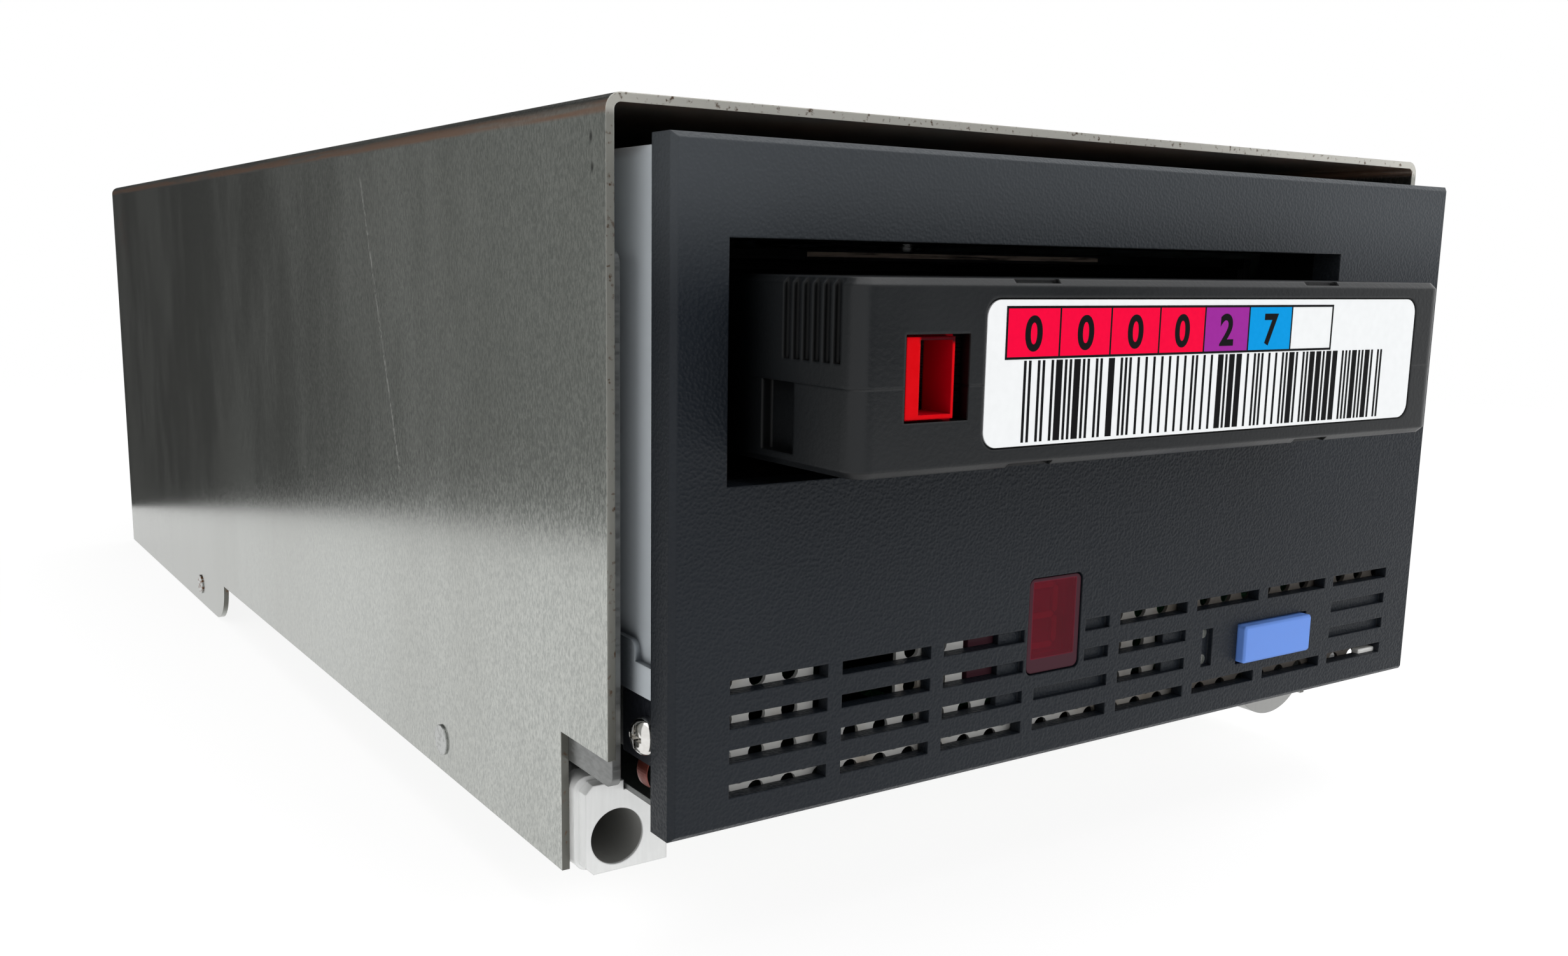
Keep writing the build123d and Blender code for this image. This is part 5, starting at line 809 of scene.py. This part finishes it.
def ink(name, shade):
    """Printing ink of one colour, a little uneven where it has sunk into the paper."""
    made, coat, where = new_finish(name, Specular_IOR_Level=0.05)
    darker = tuple(c * 0.9 for c in shade[:3]) + (1.0,)
    follow(
        made,
        coat,
        grain=clouds(made, where, 1500, 3),
        colours=(shade, darker),
        roughness=(0.42, 0.56),
        bump=(0.00001, 0.2),
    )
    return made


def lay_ink(piece, across=0.0, up=0.0, step=INK_STEP):
    """Sets ink on the label, proud of the paper by a step in thicknesses of the ink."""
    stand_up(piece, at(across, label_front - INK_THICK * step, up))
    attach(piece, "cartridge")


BOX_EDGES = (-42.55, -34.28, -25.92, -17.48, -9.24, -0.75, 7.86, 16.5)
BOX_LOW, BOX_HIGH, BOX_LINE = 58.6, 64.35, 0.14
BOX_SHADES = (
    ("crimson", screen(252, 0, 62), 4),
    ("violet", screen(160, 44, 158), 1),
    ("sky", screen(0, 156, 230), 1),
)
black_ink = ink("black ink", screen(18, 18, 20))
box_fields = [
    oblong(left + BOX_LINE, right - BOX_LINE, BOX_LOW + BOX_LINE, BOX_HIGH - BOX_LINE)
    for left, right in zip(BOX_EDGES, BOX_EDGES[1:])
]
first = 0
for shade_name, shade, how_many in BOX_SHADES:
    fields = box_fields[first:first + how_many]
    box_ink = ink(shade_name + " ink", shade)
    lay_ink(cut_sheet("label_boxes_" + shade_name, fields, INK_THICK, box_ink))
    first += how_many
box_border = oblong(
    BOX_EDGES[0] - BOX_LINE, BOX_EDGES[-1] + BOX_LINE, BOX_LOW - BOX_LINE, BOX_HIGH + BOX_LINE
)
lay_ink(cut_sheet("label_box_frames", [box_border] + box_fields, INK_THICK, black_ink))

BAR_LEFT, BAR_RIGHT, BAR_LOW, BAR_HIGH = -39.7, 28.4, 48.9, 58.3
BAR_NARROW, BAR_WIDE = 0.38, 1.02
BAR_CHOICES = (BAR_NARROW, BAR_NARROW, BAR_WIDE)
bar_widths = random.Random(23)
bars = []
u = BAR_LEFT
while u < BAR_RIGHT - BAR_WIDE:
    width = bar_widths.choice(BAR_CHOICES)
    bars.append(oblong(u, u + width, BAR_LOW, BAR_HIGH))
    u += width + bar_widths.choice(BAR_CHOICES)
bars.append(oblong(BAR_RIGHT - BAR_NARROW, BAR_RIGHT, BAR_LOW, BAR_HIGH))
lay_ink(cut_sheet("label_bars", bars, INK_THICK, black_ink))

DIGITS, DIGIT_TALL, DIGIT_BOLD, TALL_PER_SIZE = "000027", 3.9, 0.16, 0.72
for number, digit in enumerate(DIGITS):
    letter = bpy.data.curves.new("digit", "FONT")
    letter.body = digit
    letter.size = DIGIT_TALL / TALL_PER_SIZE
    letter.align_x = "CENTER"
    letter.offset = DIGIT_BOLD
    printed = from_curve("label_digit_" + str(number + 1), letter, black_ink)
    box_middle = (BOX_EDGES[number] + BOX_EDGES[number + 1]) / 2
    lay_ink(printed, box_middle, (BOX_LOW + BOX_HIGH - DIGIT_TALL) / 2, DIGIT_STEP)

# ---------------------------------------------------------------- sled
# The sled is folded from 1.1 mm hot-dip galvanised sheet: a cover of roof and two walls, a pan
# below and a panel behind. The zinc has a fine upright grain, clearer towards the front, and a
# few knocks; the sheared edges are bare and spotted, and the top fold has browned.
galvanised, shader, place = new_finish("galvanised sheet")
depth = axis_of(galvanised, place, 1)
height = axis_of(galvanised, place, 2)
sled_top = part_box("cover_shell")[1].z

GRAIN_PER_METRE, GRAIN_FADES = (3200, 3200, 1500), (-0.14, 0.14)
DRIFT_PER_METRE, REAR_SHADE_SPAN = (34, 34, 11), (-0.05, 0.17)
grain = streaks(galvanised, place, GRAIN_PER_METRE, 3, 0.6)
contrast = ramp(galvanised, depth, *GRAIN_FADES, 0.5, 0.2)
dimmest = sums(galvanised, "SUBTRACT", 0.5, contrast)
brightest = sums(galvanised, "ADD", 0.5, contrast)
shade = vary(galvanised, grain, dimmest, brightest)
# painted shade: the zinc turns darker grey towards the rear
painted_rear_shade = ramp(galvanised, depth, *REAR_SHADE_SPAN, 0.0, 0.4)
drift = streaks(galvanised, place, DRIFT_PER_METRE, 4, 0.6)
drifted = ramp(galvanised, drift, 0.35, 0.7, 0.0, 0.2)
zinc_colour = tint(galvanised, shade, screen(149, 152, 148), screen(186, 188, 183))
zinc_colour = tint(galvanised, painted_rear_shade, zinc_colour, screen(118, 119, 115))
zinc_colour = tint(galvanised, drifted, zinc_colour, screen(138, 138, 132))

SCRATCH_TOP, SCRATCH_FOOT, SCRATCH_WIDE = (-78, 97.0, 80.3), (-78, 82.0, 34.8), 0.0007
SCRATCH_LOW, SCRATCH_HIGH = (-80, 78, 34.8), (-76, 100, 80.3)
top, foot = at(*SCRATCH_TOP), at(*SCRATCH_FOOT)
lean = (top.y - foot.y) / (top.z - foot.z)
behind_foot = sums(galvanised, "SUBTRACT", depth, foot.y)
over_foot = sums(galvanised, "SUBTRACT", height, foot.z)
off_line = sums(galvanised, "SUBTRACT", behind_foot, sums(galvanised, "MULTIPLY", over_foot, lean))
on_line = ramp(galvanised, sums(galvanised, "ABSOLUTE", off_line), 0.0, SCRATCH_WIDE, 1.0, 0.0)
on_wall = inside(galvanised, place, SCRATCH_LOW, SCRATCH_HIGH, 0.002)
scratch = both(galvanised, both(galvanised, on_line, on_wall), ramp(galvanised, grain, 0.35, 0.6))
zinc_colour = tint(galvanised, scratch, zinc_colour, screen(204, 204, 200))


def spot(finish, place, centre, radius):
    """1 at a point of the piece, falling to 0 at the radius."""
    inputs = {0: place, 1: at(*centre)}
    gap = put(finish, "VectorMath", inputs, operation="DISTANCE").outputs["Value"]
    return ramp(finish, gap, 0.0, radius, 1.0, 0.0)


BLUSH, BLUSH_RADIUS = (-78, 320, 75), 0.014
brown_low, brown_high, brown_soft = sled_top - 0.0026, sled_top - 0.0006, 0.0006
fold_starts = ramp(galvanised, height, brown_low, brown_low + brown_soft)
fold_ends = ramp(galvanised, height, brown_high - brown_soft, brown_high, 1.0, 0.0)
fold_stain = ramp(galvanised, streaks(galvanised, place, (40, 40, 900), 3), 0.3, 0.6, 0.3, 0.9)
browned = both(galvanised, both(galvanised, fold_starts, fold_ends), fold_stain)
zinc_colour = tint(galvanised, browned, zinc_colour, screen(150, 112, 88))
blush_stain = ramp(galvanised, clouds(galvanised, place, 300, 3), 0.4, 0.7, 0.1, 0.5)
blush = both(galvanised, spot(galvanised, place, BLUSH, BLUSH_RADIUS), blush_stain)
zinc_colour = tint(galvanised, blush, zinc_colour, screen(150, 120, 108))

EDGE_LIGHTENS = (0.02, 0.06)
facing = put(galvanised, "TexCoord").outputs["Normal"]
sheared = ramp(galvanised, axis_of(galvanised, facing, 1), -0.9, -0.6, 1.0, 0.0)
up_wall = ramp(galvanised, height, *EDGE_LIGHTENS)
on_roof = ramp(galvanised, height, sled_top - 0.0028, sled_top - 0.0016)
spots = ramp(galvanised, clouds(galvanised, place, 1400, 3), 0.58, 0.74)
edge_colour = tint(galvanised, up_wall, screen(96, 96, 90), screen(150, 150, 143))
edge_colour = tint(galvanised, on_roof, edge_colour, screen(206, 204, 196))
edge_colour = tint(galvanised, spots, edge_colour, screen(92, 72, 56))

OXIDE_PER_METRE, WORN_METALLIC = (22, 22, 8), 0.35
oxide = streaks(galvanised, place, OXIDE_PER_METRE, 4, 0.65)
marked = sums(galvanised, "MULTIPLY", sums(galvanised, "MAXIMUM", scratch, browned), 0.5)
worn = sums(galvanised, "MAXIMUM", sheared, marked)
worn = sums(galvanised, "MAXIMUM", worn, ramp(galvanised, oxide, 0.42, 0.62, 0.0, 0.16))
metal_share = put(galvanised, "MapRange", {"Value": worn, "To Min": 1.0, "To Max": WORN_METALLIC})

UPPER_DENT, LOWER_DENT, DENT_RADII = (-78, 13.0, 82.8), (-78, 12.6, 79.4), (0.0011, 0.0009)
dents = sums(
    galvanised, "ADD",
    spot(galvanised, place, UPPER_DENT, DENT_RADII[0]),
    spot(galvanised, place, LOWER_DENT, DENT_RADII[1]),
)
raised = sums(galvanised, "MULTIPLY", grain, 0.12)
surface = sums(galvanised, "SUBTRACT", raised, sums(galvanised, "MULTIPLY", dents, 3.0))
wire(
    galvanised,
    shader,
    Base_Color=tint(galvanised, sheared, zinc_colour, edge_colour),
    Metallic=metal_share.outputs["Result"],
    Roughness=vary(galvanised, grain, 0.16, 0.23),
    Normal=relief(galvanised, surface, 0.00012, 0.4, 0.0002),
)
dress(galvanised, "cover_shell", "base_pan", "rear_panel")

# ---------------------------------------------------------------- guide block
# The left docking guide is die cast in zinc and satin from tumbling. It sits in the pan's
# open front corner against the wall; a grey sleeve is pressed into its bore, behind the mouth.
BORE_MIDDLE, BORE_RADIUS, SLEEVE_BACK = (-71.55, 0, -6.10), 0.0040, 0.0003
satin_casting, shader, place = new_finish("satin zinc casting", Specular_IOR_Level=0.4)
brushed = streaks(satin_casting, place, (2600, 200, 240), 3)
pit = clouds(satin_casting, place, 700, 3)
bore = at(*BORE_MIDDLE)
flattened = stretched(satin_casting, place, (1, 0, 1))
bore_inputs = {0: flattened, 1: (bore.x, 0, bore.z)}
from_bore = put(satin_casting, "VectorMath", bore_inputs, operation="DISTANCE").outputs["Value"]
in_bore = ramp(satin_casting, from_bore, BORE_RADIUS, BORE_RADIUS + 0.0001, 1.0, 0.0)
sleeve_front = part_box("left_guide_block")[0].y + SLEEVE_BACK
inward = axis_of(satin_casting, place, 1)
behind_mouth = ramp(satin_casting, inward, sleeve_front, sleeve_front + 0.0002)
sleeve = both(satin_casting, in_bore, behind_mouth)
cast_colour = tint(satin_casting, brushed, screen(236, 237, 236), screen(248, 249, 248))
wire(
    satin_casting,
    shader,
    Base_Color=tint(satin_casting, sleeve, cast_colour, screen(150, 150, 147)),
    Metallic=ramp(satin_casting, sleeve, 0.0, 1.0, 0.3, 0.0),
    Roughness=vary(satin_casting, pit, 0.36, 0.52),
    Normal=relief(satin_casting, brushed, 0.00005, 0.3, 0.0003),
)
dress(satin_casting, "left_guide_block")

# ---------------------------------------------------------------- guide lug
# The right docking guide is a plain zinc casting without a bore, left as cast. Only its
# rounded nose shows below the bezel; its darker grey is painted shade.
painted_shade_casting, shader, place = new_finish("zinc casting in painted shade", Metallic=0.7)
follow(
    painted_shade_casting,
    shader,
    grain=clouds(painted_shade_casting, place, 900, 4),
    colours=(screen(150, 150, 148), screen(182, 182, 180)),
    roughness=(0.36, 0.52),
    bump=(0.00006, 0.35, 0.0003),
)
dress(painted_shade_casting, "right_guide_lug")

# ---------------------------------------------------------------- table
# A white table runs back under the part. It gives off a little light of its own and fades
# out far from the part, so that it ends without an edge.
FLOOR_DROP, TABLE_HALF, TABLE_FADES = 0.0004, 2.0, (0.35, 0.9)
TABLE_GREY, TABLE_GLOW = (0.26, 0.26, 0.26, 1), 0.85
table_top, table_shader, table_place = new_finish(
    "white table", Base_Color=TABLE_GREY, Emission_Color=(1, 1, 1, 1),
    Emission_Strength=TABLE_GLOW, Roughness=0.9, Specular_IOR_Level=0.0,
)
table_far = put(table_top, "VectorMath", {0: table_place}, operation="LENGTH").outputs["Value"]
table_mix = put(table_top, "MixShader", {
    0: ramp(table_top, table_far, *TABLE_FADES),
    1: table_shader.outputs[0],
    2: put(table_top, "BsdfTransparent").outputs[0],
})
table_out = table_top.node_tree.nodes["Material Output"]
table_top.node_tree.links.new(table_mix.outputs[0], table_out.inputs["Surface"])
slab = bmesh.new()
bmesh.ops.create_grid(slab, x_segments=8, y_segments=8, size=TABLE_HALF)
table_mesh = bpy.data.meshes.new("table")
slab.to_mesh(table_mesh)
slab.free()
table_mesh.materials.append(table_top)
table = show("table", table_mesh)
table_level = cad_box[0][2] - FLOOR_DROP
table.location.z = table_level

# ---------------------------------------------------------------- cards
# Dark cards stand round the part, out of the camera's sight, and give its sheet metal
# something to mirror: a bent one at the left of the sled, a flag in front and one behind.
CARD_FOOT = (
    (-0.060, 0.260), (-0.0955, 0.2369), (-0.1185, 0.2202), (-0.1406, 0.2011), (-0.1613, 0.1800),
    (-0.1797, 0.1536), (-0.2032, 0.1114), (-0.80, -0.06),
)
FRONT_FLAG_FOOT = ((-0.10, -0.90), (0.30, -0.80), (0.60, -0.60))
REAR_FLAG_FOOT = ((-0.05, 0.70), (0.90, 0.60))


def stand_card(name, foot, low, high, dark_end, light_end):
    """A card on a bent foot line that only reflections see; each end is its x and its glow."""
    card_paint = bpy.data.materials.new(name)
    card_paint.use_nodes = True
    nodes = card_paint.node_tree
    nodes.nodes.remove(nodes.nodes["Principled BSDF"])
    across = axis_of(card_paint, put(card_paint, "TexCoord").outputs["Object"], 0)
    level = ramp(card_paint, across, light_end[0], dark_end[0], light_end[1], dark_end[1])
    glow = put(card_paint, "Emission", {"Color": (0.98, 1.0, 0.97, 1), "Strength": level})
    nodes.links.new(glow.outputs[0], nodes.nodes["Material Output"].inputs["Surface"])
    mesh = bpy.data.meshes.new(name)
    corners = [(x, y, table_level + z) for z in (low, high) for x, y in foot]
    count = len(foot)
    faces = [(i, i + 1, count + i + 1, count + i) for i in range(count - 1)]
    mesh.from_pydata(corners, [], faces)
    mesh.materials.append(card_paint)
    card = show(name, mesh)
    card.visible_camera = False
    card.visible_diffuse = False
    card.visible_transmission = False
    card.visible_shadow = False


stand_card("dark_card", CARD_FOOT, 0.0, 0.9, dark_end=(-0.11, 0.06), light_end=(-0.22, 0.30))
stand_card("front_flag", FRONT_FLAG_FOOT, 0.0, 0.42, dark_end=(0.3, 0.01), light_end=(-0.1, 0.015))
stand_card("rear_flag", REAR_FLAG_FOOT, 0.1, 0.6, dark_end=(0.5, 0.04), light_end=(0.0, 0.06))

# ---------------------------------------------------------------- lights
# The studio's white surroundings look fully white to the camera and in reflections but light
# the part at half strength. Two softboxes stand above and in front of it.
FILL_LIGHT, SEEN_LIGHT = 0.5, 1.0
world = bpy.data.worlds.new("studio")
bpy.context.scene.world = world
world.use_nodes = True
ray = put(world, "LightPath").outputs
mirrored = sums(world, "MAXIMUM", ray["Is Glossy Ray"], ray["Is Transmission Ray"])
seen = sums(world, "MAXIMUM", ray["Is Camera Ray"], mirrored)
level = put(world, "MapRange", {"Value": seen, "To Min": FILL_LIGHT, "To Max": SEEN_LIGHT})
world_glow = world.node_tree.nodes["Background"]
world_glow.inputs["Color"].default_value = (1, 1, 1, 1)
world.node_tree.links.new(level.outputs["Result"], world_glow.inputs["Strength"])


def softbox(name, place, aim, width, watts):
    """A square soft lamp aimed at a point."""
    light = bpy.data.lights.new(name, "AREA")
    light.shape = "RECTANGLE"
    light.size = light.size_y = width
    light.energy = watts
    lamp = show(name, light)
    turn = (aim - place).to_track_quat("-Z", "Y").to_matrix().to_4x4()
    lamp.matrix_world = Matrix.Translation(place) @ turn
    return lamp


softbox("top_softbox", Vector((0.1, -0.2, 0.9)), Vector((0, 0, 0.05)), 0.9, 3.4)
front_lamp = softbox("front_softbox", Vector((0.35, -0.95, 0.5)), Vector((0, -0.1, 0.05)), 0.6, 3.0)
front_lamp.visible_glossy = False

# ---------------------------------------------------------------- camera
# The camera stands where the photograph was taken, low at the part's left front. Its place
# and aim were solved from the bezel's and the cartridge's known sizes.
CAMERA_PLACE = at(-153.23, -139.38, 68.92)
CAMERA_TURN = math.radians(33.655)
CAMERA_DIP = math.radians(-10.082)
CAMERA_ROLL = math.radians(0.978)
FOCUS_PIXELS, FRAME_PIXELS, AXIS_PIXEL = 2225.5, (2464, 1502), (1211.3, 807.0)
ahead = Vector((
    math.sin(CAMERA_TURN) * math.cos(CAMERA_DIP),
    math.cos(CAMERA_TURN) * math.cos(CAMERA_DIP),
    math.sin(CAMERA_DIP),
))
level_right = Vector((math.cos(CAMERA_TURN), -math.sin(CAMERA_TURN), 0))
level_up = level_right.cross(ahead)
right = level_right * math.cos(CAMERA_ROLL) + level_up * math.sin(CAMERA_ROLL)
up = level_up * math.cos(CAMERA_ROLL) - level_right * math.sin(CAMERA_ROLL)
lens = bpy.data.cameras.new("camera")
lens.sensor_width = 36.0
lens.sensor_fit = "HORIZONTAL"
lens.lens = FOCUS_PIXELS * lens.sensor_width / FRAME_PIXELS[0]
lens.shift_x = (FRAME_PIXELS[0] / 2 - AXIS_PIXEL[0]) / FRAME_PIXELS[0]
lens.shift_y = (AXIS_PIXEL[1] - FRAME_PIXELS[1] / 2) / FRAME_PIXELS[0]
lens.clip_start = 0.01
camera = show("camera", lens)
stance = Matrix((right, up, -ahead)).transposed().to_4x4()
camera.matrix_world = Matrix.Translation(CAMERA_PLACE) @ stance
bpy.context.scene.camera = camera
bpy.context.scene.view_settings.view_transform = "Standard"
